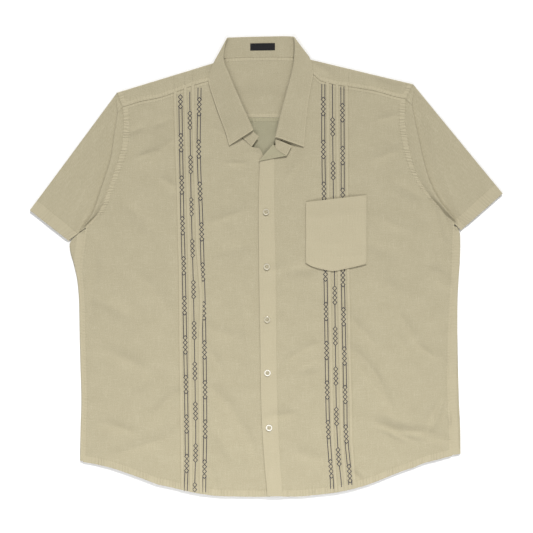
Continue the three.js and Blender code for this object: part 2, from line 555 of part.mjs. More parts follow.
// A sleeve is a flattened tube from the armhole edges of yoke, front and back to its open hem
const SLEEVE_STEPS = { right: 5, left: 6 };
function sleeveGrid(yokeEdge, frontEdge, backEdge, cuff, ledgeSide) {
  const above = frontEdge.slice(underarm, -1).reverse();
  const folds = YOKE_BACK_ROWS.length + 2;
  const front = [...yokeEdge.slice(folds), ...above];
  const rear = [...yokeEdge.slice(0, folds).reverse(), ...backEdge.slice(1).reverse()];
  const lengths = (path) => {
    const sums = [0];
    for (let k = 1; k < path.length; k += 1) {
      const step = Math.hypot(path[k].x - path[k - 1].x, path[k].y - path[k - 1].y);
      sums.push(sums[k - 1] + step);
    }
    return sums;
  };
  const out = Math.sign(cuff.outerX);
  const arm = front[front.length - 1];
  const turned = point(arm.x + out * TURN * 0.7, arm.y - TURN, REST + TURN);
  const tip = front[0];
  const walk = (path, upper) => {
    const sums = lengths([tip, ...path]).slice(1);
    const total = sums[sums.length - 1];
    return path.map((spot, k) => {
      const before = path[Math.max(k - 1, 0)];
      const after = path[Math.min(k + 1, path.length - 1)];
      const run = point(after.x - before.x, after.y - before.y, 0).normalize();
      const sideways = point(-run.y, run.x, 0);
      if (sideways.x * out < 0) sideways.negate();
      return { spot: spot.clone().addScaledVector(sideways, 2 * SEAM), along: sums[k] / total, upper };
    });
  };
  const loop = [
    ...walk(front, true),
    { spot: turned, along: 1.02, upper: false },
    ...walk(rear, false).reverse(),
  ];
  return loop.map(({ spot, along, upper }) => {
    const end = point(lerp(cuff.outerX, cuff.innerX, along), lerp(cuff.outerY, cuff.innerY, along), spot.z);
    const length = Math.hypot(end.x - spot.x, end.y - spot.y);
    const ledge = Math.min(lookup(LEDGE, 'along', clamp(along, 0, 1), ledgeSide), length * 0.45);
    const drop = Math.min(8, length * 0.16);
    const middle = Math.sqrt(Math.max(0, Math.sin(Math.PI * clamp(along, 0, 1))));
    const stations = [0, ledge * 0.5, ledge, ledge + drop];
    const steps = SLEEVE_STEPS[ledgeSide];
    for (let k = 1; k <= steps; k += 1) stations.push(lerp(ledge + drop, length, k / steps));
    return stations.map((far, j) => {
      const t = far / length;
      const x = lerp(spot.x, end.x, t);
      const y = lerp(spot.y, end.y, t);
      if (!upper) return point(x, y, spot.z);
      const fromSeam = (spot.z - TOP) * Math.exp(-((far / 40) ** 2));
      const open = Math.sin(Math.PI * clamp((far - ledge - drop) / (length - ledge - drop), 0, 1));
      const beyond = lerp(-LEDGE_DROP / 2, 0, t) + SLEEVE_FILL * open;
      const profile = [0, LEDGE_RISE, LEDGE_RISE * 0.8, -LEDGE_DROP][j] ?? beyond;
      return point(x, y, Math.max(LOWEST, TOP + fromSeam + middle * profile));
    });
  });
}
const armholeRows = back.slice(SIDE_ROWS);
const backRight = armholeRows.map((row) => row[WRAP_COLUMNS]);
const backLeft = armholeRows.map((row) => row[WRAP_COLUMNS + BACK_COLUMNS]);
const rightSleeve = sleeveGrid(yoke[0], outerEdge(rightFront), backRight, RIGHT_CUFF, 'right');
const leftSleeve = sleeveGrid(yoke[yoke.length - 1], outerEdge(leftFront), backLeft, LEFT_CUFF, 'left');

// The placket is joined to the left front's edge and laps over the right front. Above the last
// closed button it is turned out along a slanting roll.
function placketGrid() {
  const strip = (from, to, rise) => STRIP.map((across) => {
    const x = lerp(from.x, to.x, across);
    const y = lerp(from.y, to.y, across);
    return point(x, y, lie(x, y) + LIFT + rise);
  });
  const shifted = (spot, dx, dy) => ({ x: spot.x + dx, y: spot.y + dy });
  const between = (from, to, t) => ({ x: lerp(from.x, to.x, t), y: lerp(from.y, to.y, t) });
  const lapelRow = (LEFT_FRONT_ROWS.length - 6) * ROWS_BETWEEN;
  const rows = [];
  for (let i = 0; i < lapelRow; i += 1) {
    const joined = leftFront[i][leftFront[i].length - 1];
    const slant = 20 * smooth((i / lapelRow - 0.8) / 0.2);
    const y = joined.y - slant;
    const edge = { x: lookup(PLACKET_EDGE, 'y', y, 'x'), y };
    rows.push(strip(edge, shifted(joined, -SEAM, 0), 0));
  }
  const { low, high, tip, seam } = LAPEL;
  const rise = LIFT + LAPEL_ROLL;
  rows.push(strip(shifted(low, 0, -1), shifted(high, -1, -2), 0.1));
  rows.push(strip(shifted(low, -0.7, 0.6), shifted(high, -1.3, 0.2), rise / 2));
  rows.push(strip(shifted(low, 1, 0.1), shifted(high, -0.2, -0.8), rise));
  LAPEL_ROWS.forEach((t) => rows.push(strip(between(low, tip, t), between(high, seam, t), rise)));
  return rows;
}

// Band and leaf share the fold line. q turns from up on the front to down behind the neck.
function collarFrame(row, k) {
  const across = new THREE.Vector2(row.foldX - row.seamX, row.foldY - row.seamY).normalize();
  const side = row.foldX < NECK_MIDDLE.x ? -1 : 1;
  const tilt = THREE.MathUtils.degToRad(180 * row.level - 90);
  const sideways = { x: side * Math.abs(across.y), y: -side * across.x * Math.sign(across.y || 1) };
  const turnedOut = k >= TURNED_OUT;
  const raisedBy = (x) => (side > 0 ? lapped(x) : 0);
  const onLapel = 2 * LIFT + LAPEL_ROLL;
  const upperSeam = lie(row.seamX, row.seamY) + (turnedOut ? onLapel : raisedBy(row.seamX));
  const upperFold = lie(row.foldX, row.foldY) + (turnedOut ? onLapel + 0.2 : raisedBy(row.foldX) + BAND_RISE);
  const seamZ = lerp(REST + LAYER, upperSeam, row.level);
  const foldZ = lerp(BAND_BACK, upperFold, row.level);
  return {
    seam: point(row.seamX, row.seamY, seamZ),
    fold: point(row.foldX, row.foldY, foldZ),
    across: point(across.x, across.y, 0),
    outward: point(sideways.x * Math.cos(tilt), sideways.y * Math.cos(tilt), Math.sin(tilt)),
  };
}
const collar = COLLAR.map(collarFrame);
const band = collar.map(({ seam, fold }, k) => {
  const turning = [k - 1, k, k + 1].some((n) => COLLAR[n] && COLLAR[n].level > 0.03 && COLLAR[n].level < 1);
  const reach = turning ? BAND_SHORT : 1;
  return [0, 0.33, 0.67, 1].map((t) => seam.clone().lerp(fold, t * reach));
});
const leaf = [];
for (let k = LEAF_FIRST; k <= LEAF_LAST; k += 1) {
  const { fold, across, outward } = collar[k];
  const row = COLLAR[k];
  const roll = LEAF_ROLL * (1 + LEAF_FULLER * row.level);
  const rolled = [15, 60, 110, 165].map((degrees) => {
    const angle = THREE.MathUtils.degToRad(degrees);
    return fold.clone().addScaledVector(across, SEAM + LEAF_GAP + roll * Math.sin(angle))
      .addScaledVector(outward, roll * (1 - Math.cos(angle)));
  });
  const start = fold.clone().addScaledVector(outward, 2 * roll).addScaledVector(across, -2);
  const edgeLevel = clamp((row.level - 0.2) / 0.6, 0, 1);
  const edge = point(row.edgeX, row.edgeY, lerp(REST, lie(row.edgeX, row.edgeY) + LIFT + 0.3, edgeLevel));
  const rest = [0, 0.33, 0.67, 1].map((t) => start.clone().lerp(edge, t));
  leaf.push([...rolled, ...rest]);
}

// The pocket lies on the left front, a little open at the top
const POCKET_ROWS = 6;
function pocketGrid() {
  const rows = [];
  for (let i = 0; i <= POCKET_ROWS; i += 1) {
    const t = i / POCKET_ROWS;
    rows.push(POCKET.map((row, j) => {
      const y = lerp(row.bottom, row.top, t);
      const gape = POCKET_GAPE * smooth((t - 0.75) / 0.25) * Math.sin((Math.PI * j) / (POCKET.length - 1));
      return point(row.x, y, lie(row.x, y) + lapped(row.x) + POCKET_LIFT + gape);
    }));
  }
  return rows;
}

function labelGrid() {
  const steps = 4;
  const rows = [];
  for (let i = 0; i <= steps; i += 1) {
    const x = lerp(LABEL.left, LABEL.right, i / steps);
    rows.push([LABEL.near, LABEL.far].map((t) => {
      const seamY = lookup(BEHIND_NECK, 'seamX', x, 'seamY');
      const foldY = lookup(BEHIND_NECK, 'foldX', x, 'foldY');
      const above = (WALL + LABEL_WALL) / 2 + SEAM;
      return point(x, lerp(seamY, foldY, t), lerp(REST + LAYER, BAND_BACK, t) + above);
    }));
  }
  return rows;
}

// A dished button, turned about its own axis. Its profile is in parts of its radius and its height.
const BUTTON_PROFILE = [
  [0, 0], [0.78, 0], [1, 0.3], [1, 0.72], [0.9, 1], [0.72, 0.94], [0.58, 0.66], [0, 0.66],
];
function button({ x, y }) {
  const outline = BUTTON_PROFILE.map(([r, z]) => new THREE.Vector2(r * BUTTON_RADIUS, z * BUTTON_HEIGHT));
  const geometry = new THREE.LatheGeometry(outline, 16);
  geometry.rotateX(Math.PI / 2);
  const base = lie(x, y) + LIFT + REST + 2 * SEAM;
  geometry.translate(x - MIDDLE.x, y - MIDDLE.y, base);
  return geometry;
}

const shirt = new THREE.Group();
function add(name, geometry, finish) {
  const material = new THREE.MeshStandardMaterial({ ...FINISHES[finish], metalness: 0, side: THREE.FrontSide });
  const mesh = new THREE.Mesh(geometry, material);
  mesh.name = name;
  shirt.add(mesh);
}

add('back', shell(back, { present: backPresent }), 'inside');
add('yoke', shell(yoke, { present: yokePresent }), 'cloth');
add('front_right', shell(rightFront.map((row) => [...row].reverse()), { raised: tuckRise }), 'cloth');
add('front_left', shell(leftFront, { raised: tuckRise }), 'cloth');
add('placket', shell(placketGrid()), 'cloth');
add('sleeve_right', shell(rightSleeve, { closed: true }), 'cloth');
add('sleeve_left', shell(leftSleeve, { closed: true }), 'cloth');
add('collar_band', shell(band), 'cloth');
add('collar_leaf', shell(leaf), 'cloth');
add('pocket', shell(pocketGrid()), 'cloth');
add('label', shell(labelGrid(), { wall: LABEL_WALL }), 'label');
BUTTONS.forEach((spot, k) => add(`button_${k + 1}`, button(spot), 'button'));

export default shirt;
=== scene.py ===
"""A short-sleeve shirt laid flat: fine cloth, sewing, embroidery, buttons, floor, light and camera."""
import math

import bpy
import numpy as np
from mathutils import Matrix, Vector


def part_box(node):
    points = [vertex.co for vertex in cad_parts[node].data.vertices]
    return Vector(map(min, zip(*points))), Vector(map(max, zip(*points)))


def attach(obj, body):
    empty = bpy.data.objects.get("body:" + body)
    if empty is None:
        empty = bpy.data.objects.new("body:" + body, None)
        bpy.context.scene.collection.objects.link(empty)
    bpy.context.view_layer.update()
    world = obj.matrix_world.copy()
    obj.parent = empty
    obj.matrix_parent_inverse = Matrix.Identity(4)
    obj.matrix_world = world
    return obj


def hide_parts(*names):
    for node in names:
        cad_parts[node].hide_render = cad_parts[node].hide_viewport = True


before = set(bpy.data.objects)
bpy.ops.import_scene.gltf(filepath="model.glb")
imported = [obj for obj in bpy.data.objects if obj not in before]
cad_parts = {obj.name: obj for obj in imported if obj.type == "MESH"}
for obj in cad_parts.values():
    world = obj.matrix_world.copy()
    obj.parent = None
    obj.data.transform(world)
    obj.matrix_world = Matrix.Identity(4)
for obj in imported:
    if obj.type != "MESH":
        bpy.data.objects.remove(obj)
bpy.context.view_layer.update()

# Sizes in millimetres, as on the solids: +Y from hem to neck, the wearer's right at -X
MM = 0.001
MIDDLE_X = -0.46
MIDDLE_Y = -0.02
CLOTH = 0.8
WALL = 1.2
SEAM = 0.3
LAYER = WALL + SEAM
REST = WALL / 2
TURN = 1.6
TOP = REST + 2 * TURN
LOWEST = REST + LAYER + 0.1
FILL = 1.3
FILL_REACH = 45
NECK_RISE = 1.6
NECK_REACH = 95
NECK_X = -8
NECK_Y = 318
LIFT = LAYER + 0.4
LAP_FROM = 14
LAP_OVER = 38
TUCK_WIDTH = 5
CORNER_CALM = 4.5
CREASE_DEPTH = 2.4
FINE_DEPTH = 4.2
CREASE_SHARPNESS = 1.6
CREASE_START = 0.12
CREASE_SPAN = 0.76
BROAD_DRIFT = 0.4
MIDDLING_DRIFT = 0.22
SMALL_DRIFT = 0.06
FREE_FROM = 20
FAR_OFF = 1e3
WHOLE = (0, 1)
TUCK_RISE = 1.0
TUCK_PUCKER = 0.2
POCKET_LIFT = LAYER + 1.2
POCKET_GAPE = 2.2
BUTTON_RADIUS = 5.6
BACK_SEAM = 267
LEAF_ROLL = 1.4
BAND_BACK = REST + 2 * LEAF_ROLL
BAND_RISE = 2.2
LAPEL_ROLL = 0.3
UNDERARM_ROW = 8


def table(columns, *rows):
    """A short table as one array for each named column."""
    return {name: np.array([row[k] for row in rows], float) for k, name in enumerate(columns.split())}


FRONT_COLUMNS = "outer_x outer_y inner_x inner_y"
RIGHT_FRONT = table(
    FRONT_COLUMNS,
    (-330, -352, 9, -412), (-328.8, -294, 9, -345), (-327.3, -236, 9, -280), (-328.8, -180, 8, -215),
    (-330.4, -120, 8, -150), (-331.4, -62, 8, -85), (-335, -12, 7, -25), (-330.5, 32, 6, 35),
    (-323.1, 72, 5, 90), (-297.9, 103.5, 3, 135), (-277.2, 158.4, -1, 176), (-260.5, 209, -11, 209),
    (-257.2, 234, -27, 215), (-256.4, 252, -54, 242), (-256.8, 270, -82, 293.4), (-258.3, 288, -94, 335),
)
LEFT_FRONT = table(
    FRONT_COLUMNS,
    (333, -342.5, 27.5, -413.1), (331, -285, 22.1, -342), (329, -230, 18.5, -273.6),
    (329, -175, 16.7, -205.2), (330, -120, 15.8, -133.2), (333, -65, 15, -70), (336, -25, 14.4, -9),
    (337, 30, 13, 60), (336.3, 79, 12.2, 118.8), (314.1, 104.4, 12.3, 152), (289.8, 131.4, 12.6, 184),
    (267, 172, 13.5, 214), (254.7, 216, 31.5, 228.6), (250.2, 244.8, 48.6, 246), (248.2, 267.3, 60.6, 280),
    (248.4, 285, 70, 318), (249.8, 302.4, 72.5, 350),
)
HEM = table(
    "x y",
    (-333.9, -351.9), (-281.7, -361.8), (-238.5, -376.2), (-195.3, -392.4), (-108.9, -410.4), (-51.3, -414),
    (20.7, -414), (78.3, -412.2), (164.7, -397.8), (265.5, -361.8), (308.7, -347.4), (349.2, -338.4),
)
RIGHT_YOKE_SEAM = table(
    "x y", (-258.3, 288), (-227.7, 297), (-191.7, 304.2), (-162.9, 314.3), (-124.4, 328), (-94, 335),
)
LEFT_YOKE_SEAM = table(
    "x y", (72.5, 350), (83.7, 345.6), (96.3, 334.8), (119.7, 327.6), (191.7, 316.8), (249.8, 302.4),
)
RIGHT_TUCKS = table(
    "y first second third",
    (-420, -152.6, -137, -119.5), (-150, -156, -139, -121.6), (-60, -156.8, -139.5, -119.5),
    (30, -158.4, -141.3, -125.8), (330, -166.5, -148, -134.4),
)
LEFT_TUCKS = table(
    "y first second third",
    (-420, 161, 145, 127.5), (-313, 153.9, 137, 120.2), (83, 147, 130.5, 113.2), (350, 145.6, 128.6, 111.5),
)
SIDES = table(
    "y left right",
    (-352, -335, 348.5), (-295, -333.9, 348), (-240, -332.4, 345.5), (-180, -334, 344), (-115, -335.6, 342.9),
    (-61, -336.6, 343.2), (-25, -339.8, 345), (4, -346, 347), (30, -353, 348), (44, -352, 348),
    (58, -338, 347.5), (66, -327.5, 345), (72, -322, 341),
)
RIGHT_SHOULDER = ((-268.2, 311.4), (-88, 366.5))
LEFT_SHOULDER = ((263, 326.5), (71.5, 372.5))
RIGHT_CUFF = ((-425.1, 99.9), (-357.3, 46.6))
LEFT_CUFF = ((424.2, 130), (351.2, 65.8))
LEDGE = table("along right left", (0, 8, 8), (0.25, 27, 31), (0.5, 27, 33), (0.75, 21, 23), (1, 15, 12))
LEDGE_HEIGHT = table("along rise", (0, 0), (0.12, 1.8), (0.4, 3), (0.7, 4.4), (0.9, 5.6), (1, 4))
LEDGE_DROP = 2.6
SLEEVE_FILL = 0.9
BUTTON_HEIGHT = 2.4

# Creases of the upper layer, from one end to the other: below zero a trough, above zero a ridge
CREASES = table(
    "x y to_x to_y height width",
    (-227.7, 180, -164.7, 228.6, -1.1, 11), (-112.5, 74.7, -33, 100.8, -1, 10), (4.5, -8, 40, -5, -0.8, 9),
    (-4, -274, 42, -263, -0.9, 10), (-101.7, -214, -63.9, -253.8, -1.2, 13),
    (-63.9, -253.8, -20, -330, -1.3, 13),
    (-155.7, -217.8, -200.7, -285, -1.2, 12), (-173.7, -306, -278, -342, -1.3, 12),
    (152, -143, 213.3, -237.6, -1.2, 12), (198.2, -282.6, 264, -314, -1.7, 11),
    (205, -264, 268, -292, 1.5, 14),
    (243, -293.4, 321.3, -306, -1.4, 9), (305.1, -252, 288.9, -286.2, -1.3, 10),
    (297.9, 113.4, 319.5, 45, -1.3, 11), (319.5, 45, 330, 0, -1.1, 10), (300.4, -14.4, 328, -32, -1.1, 10),
    (-291.4, 99, -306.2, 34.2, -1.2, 11), (-306.2, 34.2, -312, -42.3, -1, 10),
    (80, 370, 118, 343, -1.1, 7), (189.9, 334.8, 240.3, 307.8, -1, 10), (-104, 358, -110, 330, -0.9, 7),
)


def lerp(a, b, t):
    return a + (b - a) * t


def smooth(t):
    s = np.clip(t, 0, 1)
    return s * s * (3 - 2 * s)


def curve(values, row, t):
    """A smooth curve through rows of values, a part of the way from a row to the next."""
    a, b, c, d = (values[np.clip(row + k, 0, len(values) - 1)] for k in (-1, 0, 1, 2))
    bend = (2 * a - 5 * b + 4 * c - d) * t**2 + (3 * b - a - 3 * c + d) * t**3
    return b + 0.5 * ((c - a) * t + bend)


def through(rows, column, place):
    """A column's value at a place between the rows, eased through the rows around it."""
    values = rows[column]
    at = np.clip(place, 0, len(values) - 1)
    row = np.minimum(np.floor(at), len(values) - 2).astype(int)
    return curve(values, row, at - row)


def lookup(rows, key, value, column):
    """The same, found by the value of another column that grows or falls from row to row."""
    keys = rows[key]
    sign = np.sign(keys[-1] - keys[0])
    row = np.clip(np.searchsorted(sign * keys, sign * np.asarray(value, float)) - 1, 0, len(keys) - 2)
    t = np.clip((value - keys[row]) / (keys[row + 1] - keys[row]), 0, 1)
    return through(rows, column, row + t)


def relief(x, y, creases, depth=1.0):
    """Depth of a table of creases at a place."""
    total = np.zeros(np.broadcast(x, y).shape)
    for x0, y0, x1, y1, height, width in zip(*creases.values()):
        run_x = x1 - x0
        run_y = y1 - y0
        t = np.clip(((x - x0) * run_x + (y - y0) * run_y) / (run_x**2 + run_y**2), 0, 1)
        off = np.hypot(x - x0 - run_x * t, y - y0 - run_y * t)
        fade = np.sin(np.pi * (CREASE_START + CREASE_SPAN * t))
        total += depth * height * np.exp(-((off / width) ** CREASE_SHARPNESS)) * fade
    return total


# Creases that are too fine for the solids: short ones by the seams, and long shallow ones in the panels
FINE_CREASES = table(
    "x y to_x to_y height width",
    (-75, 185, -35, 184, -0.4, 4), (-232, 196, -200, 206, -0.5, 5), (-246, 238, -222, 250, 0.5, 6),
    (-190, 158, -160, 140, -0.5, 7), (-205, 250, -175, 262, 0.4, 7), (157, -371, 170, -384, -1.1, 4),
    (148, -90, 195, -139, -0.6, 8), (148, -144, 210, -220, -0.7, 8), (218, -18, 238, -84, -0.6, 11),
    (238, -84, 276, -144, -0.7, 9), (275, -144, 321, -173, -0.8, 6), (321, -173, 333, -207, -0.8, 5),
    (238, -121, 252, -153, -0.5, 5), (287, -147, 321, -177, 0.6, 5), (298, -6, 332, -38, -0.7, 6),
    (172, -173, 215, -233, -0.5, 8), (215, -233, 232, -276, -0.5, 7), (318, -242, 298, -293, 0.7, 4),
    (324, -262, 341, -299, 0.7, 4), (198, -291, 235, -302, 0.7, 4), (235, -302, 287, -308, 0.7, 4),
    (287, -308, 341, -317, -0.6, 4), (218, -299, 255, -316, 0.8, 4), (34, -171, 66, -149, -0.5, 6),
    (66, -149, 95, -139, -0.5, 6), (57, -190, 97, -178, 0.5, 6), (22, -270, 49, -265, -0.6, 4),
    (26, -9, 97, -5, 0.6, 8), (-20, 40, -95, 20, 0.4, 12), (60, -40, 160, -70, 0.3, 14),
    (190, -20, 270, -60, -0.3, 13), (-300, -60, -240, -95, 0.5, 12), (-290, -150, -215, -185, -0.5, 11),
    (40, -330, 110, -350, -0.5, 11), (175, 40, 235, 20, 0.4, 11), (195, 262, 240, 272, -0.4, 8),
    (-110, -110, -50, -130, -0.4, 11), (240, 210, 190, 190, -0.5, 8), (230, 150, 280, 120, 0.5, 9),
    (-60, 230, -100, 250, -0.3, 8), (30, 150, 62, 190, -0.4, 8), (-40, -60, -30, -180, 0.4, 11),
    (308, 104, 322, 48, 0.5, 4), (301, 98, 314, 45, -0.4, 4), (318, 98, 330, 60, -0.4, 4),
    (-157, -225, -187, -248, -0.4, 6), (-187, -248, -210, -273, -0.4, 7), (-207, -132, -228, -210, 0.3, 9),
    (-166, -31, -204, -121, -0.3, 10), (-103, -147, -73, -198, -0.3, 8), (-37, -300, -14, -356, -0.3, 8),
    (-100, -359, -88, -401, -0.4, 6), (-308, -10, -322, -114, -0.4, 7), (-260, 120, -200, 60, 0.4, 12),
    (-230, -10, -180, -70, -0.4, 12), (-250, -230, -205, -200, 0.4, 9),
    (-95, -290, -60, -350, 0.5, 9), (-300, -280, -230, -300, -0.5, 8), (200, 90, 260, 60, -0.4, 11),
)


def drift(x, y):
    """Soft unevenness of cloth that lies free."""
    broad = np.sin(x / 31 + 0.6 * np.sin(y / 47)) * np.sin(y / 38 + 1.3)
    middling = np.sin(x / 13.7 - y / 19.1 + 2 * np.sin(y / 61)) * np.sin(y / 23.3 + x / 41 + 0.7)
    small = np.sin(x / 6.1 + y / 9.7 + 3 * np.sin(x / 43)) * np.sin(y / 7.3 - x / 15.1)
    return BROAD_DRIFT * broad + MIDDLING_DRIFT * middling + SMALL_DRIFT * small


def shoulder_line(x):
    lines = []
    for (tip_x, tip_y), (neck_x, neck_y) in (RIGHT_SHOULDER, LEFT_SHOULDER):
        lines.append(neck_y + (x - neck_x) * (neck_y - tip_y) / (neck_x - tip_x))
    return np.minimum(np.minimum(*lines), LEFT_SHOULDER[1][1])


def lie(x, y):
    """Height of the middle of the upper layer: the fronts, and the yoke before the shoulder folds."""
    left = lookup(SIDES, "y", y, "left")
    right = lookup(SIDES, "y", y, "right")
    inward = np.maximum(0, np.minimum(np.minimum(x - left, right - x), shoulder_line(x) - y))
    fill = FILL * (1 - np.exp(-((inward / FILL_REACH) ** 2)))
    neck = NECK_RISE * np.exp(-((np.hypot(x - NECK_X, y - NECK_Y) / NECK_REACH) ** 4))
    free = drift(x, y) * smooth(inward / FREE_FROM)
    creases = relief(x, y, CREASES, CREASE_DEPTH)
    fine_creases = relief(x, y, FINE_CREASES, FINE_DEPTH)
    return np.maximum(LOWEST, TOP + fill + neck + creases + fine_creases + free)


def lapped(x):
    return LIFT * (1 - smooth((x - LAP_FROM) / LAP_OVER))


def points(x, y, z):
    return np.stack(np.broadcast_arrays(x, y, z), axis=-1).astype(float)


def unit(v):
    return v / np.maximum(np.linalg.norm(v, axis=-1, keepdims=True), 1e-9)


def refine(control, steps):
    """Fine rows on a smooth curve through a grid's own rows."""
    last = len(control) - 1
    place = np.linspace(0, last, last * steps + 1)
    row = np.minimum(np.floor(place), last - 1).astype(int)
    return curve(control, row, (place - row).reshape((-1,) + (1,) * (control.ndim - 1)))


def normals(grid):
    """Upward unit normals of a grid of points."""
    normal = unit(np.cross(np.gradient(grid, axis=0), np.gradient(grid, axis=1)))
    return normal * np.where(normal[..., 2:] < 0, -1, 1)


# Cloth as thin shells
def run(grid, axis):
    """How far each point is from the grid's first row or column, along the cloth."""
    step = np.linalg.norm(np.diff(grid, axis=axis), axis=-1)
    start = np.zeros_like(np.take(step, [0], axis=axis))
    return np.concatenate([start, np.cumsum(step, axis=axis)], axis=axis)


def edge_place(grid, side):
    """Distance along and off one edge of a grid: hem and head are end rows, the others end columns."""
    axis = 0 if side in ("hem", "head") else 1
    far = run(grid, axis)
    along = run(grid, 1 - axis)
    if side in ("head", "inner"):
        far = np.take(far, [-1], axis=axis) - far
    edge = np.take(along, [0 if side in ("hem", "outer") else -1], axis=axis)
    return np.broadcast_to(edge, far.shape), far


def sewing(grid, edges):
    """The nearest sewn edge of each point: place along and off it, width of its doubled band, puckers."""
    shape = grid.shape[:2]
    nearest, second = np.full(shape, FAR_OFF), np.full(shape, FAR_OFF)
    along, band, pucker = np.zeros(shape), np.zeros(shape), np.zeros(shape)
    for side, width, strength, (start, end) in edges:
        place, off = edge_place(grid, side)
        rows = np.broadcast_to(np.linspace(0, 1, shape[0])[:, None], shape)
        if side in ("hem", "head"):
            rows = np.broadcast_to(np.linspace(0, 1, shape[1])[None, :], shape)
        depth = np.where((rows >= start) & (rows <= end), off - width, FAR_OFF)
        nearer = depth < nearest
        second = np.where(nearer, nearest, np.minimum(second, depth))
        nearest = np.where(nearer, depth, nearest)
        along = np.where(nearer, place, along)
        band = np.where(nearer, width, band)
        pucker = np.where(nearer, strength, pucker)
    pucker *= smooth((second - nearest - CORNER_CALM) / CORNER_CALM)
    return along, nearest + band, band, pucker


def activate(obj):
    bpy.ops.object.select_all(action="DESELECT")
    obj.select_set(True)
    bpy.context.view_layer.objects.active = obj


def remove(objects):
    activate(objects[0])
    for obj in objects:
        obj.select_set(True)
    bpy.ops.object.delete()


def mesh_object(name, vertices, faces, material):
    mesh = bpy.data.meshes.new(name)
    mesh.from_pydata(np.asarray(vertices).tolist(), [], [list(map(int, face)) for face in faces])
    mesh.materials.append(material)
    mesh.update()
    obj = bpy.data.objects.new(name, mesh)
    bpy.context.scene.collection.objects.link(obj)
    return obj


def in_metres(grid):
    return (grid.reshape(-1, 3) - (MIDDLE_X, MIDDLE_Y, 0)) * MM


def cloth_piece(name, grid, material, node, edges=(), grain=None, closed=False,
                present=None, thickness=CLOTH, doubled=None):
    """A thin shell on a grid of middle points, which stands for a node and rests on others."""
    rows, columns = grid.shape[:2]
    index = np.arange(rows * columns).reshape(rows, columns)
    if closed:
        index = np.vstack([index, index[:1]])
    corners = (index[:-1, :-1], index[1:, :-1], index[1:, 1:], index[:-1, 1:])
    faces = np.stack([corner.ravel() for corner in corners], axis=1)
    if present is not None:
        faces = faces[present.ravel()]
    obj = mesh_object(name, in_metres(grid), faces, material)
    along, off, band, pucker = sewing(grid, edges)
    if doubled is not None:
        along = np.where(doubled, run(grid, 0), along)
        off = np.where(doubled, 0, off)
        band = np.where(doubled, TUCK_WIDTH, band)
        pucker = np.where(doubled, TUCK_PUCKER, pucker)
    u, v = (grid[..., 0], grid[..., 1]) if grain is None else grain
    mesh = obj.data
    loops = np.empty(len(mesh.loops), int)
    mesh.loops.foreach_get("vertex_index", loops)
    for title, first, second in (("grain", u, v), ("seam", along, off)):
        layer = mesh.uv_layers.new(name=title)
        values = np.stack([first.ravel()[loops], second.ravel()[loops]], axis=1) * MM
        layer.data.foreach_set("uv", values.ravel())
    for title, values in (("band", band * MM), ("pucker", pucker)):
        mesh.attributes.new(title, "FLOAT", "POINT").data.foreach_set("value", values.ravel())
    mesh.uv_layers.active = mesh.uv_layers["grain"]
    activate(obj)
    bpy.ops.object.mode_set(mode="EDIT")
    bpy.ops.mesh.select_all(action="SELECT")
    bpy.ops.mesh.delete_loose(use_verts=True, use_edges=True, use_faces=False)
    bpy.ops.object.mode_set(mode="OBJECT")
    bpy.ops.object.modifier_add(type="SOLIDIFY")
    solidify = obj.modifiers[-1]
    solidify.thickness = thickness * MM
    solidify.offset = 0
    solidify.use_rim = True
    bpy.ops.object.modifier_apply(modifier=solidify.name)
    bpy.ops.object.shade_smooth_by_angle(angle=math.radians(50))
    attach(obj, "root")
    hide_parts(node)
    return obj


# Materials
def node_tree(name):
    material = bpy.data.materials.new(name)
    material.use_nodes = True
    tree = material.node_tree
    return material, tree, tree.nodes["Principled BSDF"]


def feed(tree, source, socket):
    """Join an output to a socket, or set the socket to a value."""
    if isinstance(source, bpy.types.NodeSocket):
        tree.links.new(source, socket)
    else:
        socket.default_value = source


def calc(tree, operation, *sources):
    step = tree.nodes.new("ShaderNodeMath")
    step.operation = operation
    for source, socket in zip(sources, step.inputs):
        feed(tree, source, socket)
    return step.outputs[0]


def times(tree, *sources):
    return calc(tree, "MULTIPLY", *sources)


def times_plus(tree, *sources):
    """The first times the second, plus the third."""
    return calc(tree, "MULTIPLY_ADD", *sources)


def feed_all(tree, node, sources):
    for title, source in sources.items():
        feed(tree, source, node.inputs[title])


def eased(tree, value, low, high):
    """0 below low, 1 above high, with a soft step between them."""
    step = tree.nodes.new("ShaderNodeMapRange")
    step.interpolation_type = "SMOOTHSTEP"
    feed_all(tree, step, {"Value": value, "From Min": low, "From Max": high})
    return step.outputs["Result"]


def noise(tree, place, size, detail=2.0):
    """Soft noise whose spots have a size in metres, or one size for each direction."""
    sizes = size if isinstance(size, tuple) else (size, size, size)
    mapping = tree.nodes.new("ShaderNodeMapping")
    feed_all(tree, mapping, {"Scale": [1 / value for value in sizes], "Vector": place})
    texture = tree.nodes.new("ShaderNodeTexNoise")
    feed_all(tree, texture, {"Scale": 1.0, "Detail": detail, "Vector": mapping.outputs["Vector"]})
    return texture.outputs[0]


def mixed(tree, factor, first, second):
    step = tree.nodes.new("ShaderNodeMix")
    step.data_type = "RGBA"
    feed(tree, factor, step.inputs[0])
    feed(tree, first, step.inputs[6])
    feed(tree, second, step.inputs[7])
    return step.outputs[2]


def effect(name, inputs, outputs):
    """A shader node group with its named inputs and outputs."""
    tree = bpy.data.node_groups.new(name, "ShaderNodeTree")
    for title in inputs:
        kind = "NodeSocketVector" if title == "Place" else "NodeSocketFloat"
        tree.interface.new_socket(name=title, in_out="INPUT", socket_type=kind)
    for title in outputs:
        tree.interface.new_socket(name=title, in_out="OUTPUT", socket_type="NodeSocketFloat")
    return tree, tree.nodes.new("NodeGroupInput").outputs, tree.nodes.new("NodeGroupOutput").inputs


def put_effect(tree, name, **sources):
    step = tree.nodes.new("ShaderNodeGroup")
    step.node_tree = bpy.data.node_groups[name]
    for title, source in sources.items():
        feed(tree, source, step.inputs[title])
    return step.outputs


WHOLE_TURN = 2 * math.pi
PUCKER_PITCH = 0.0056


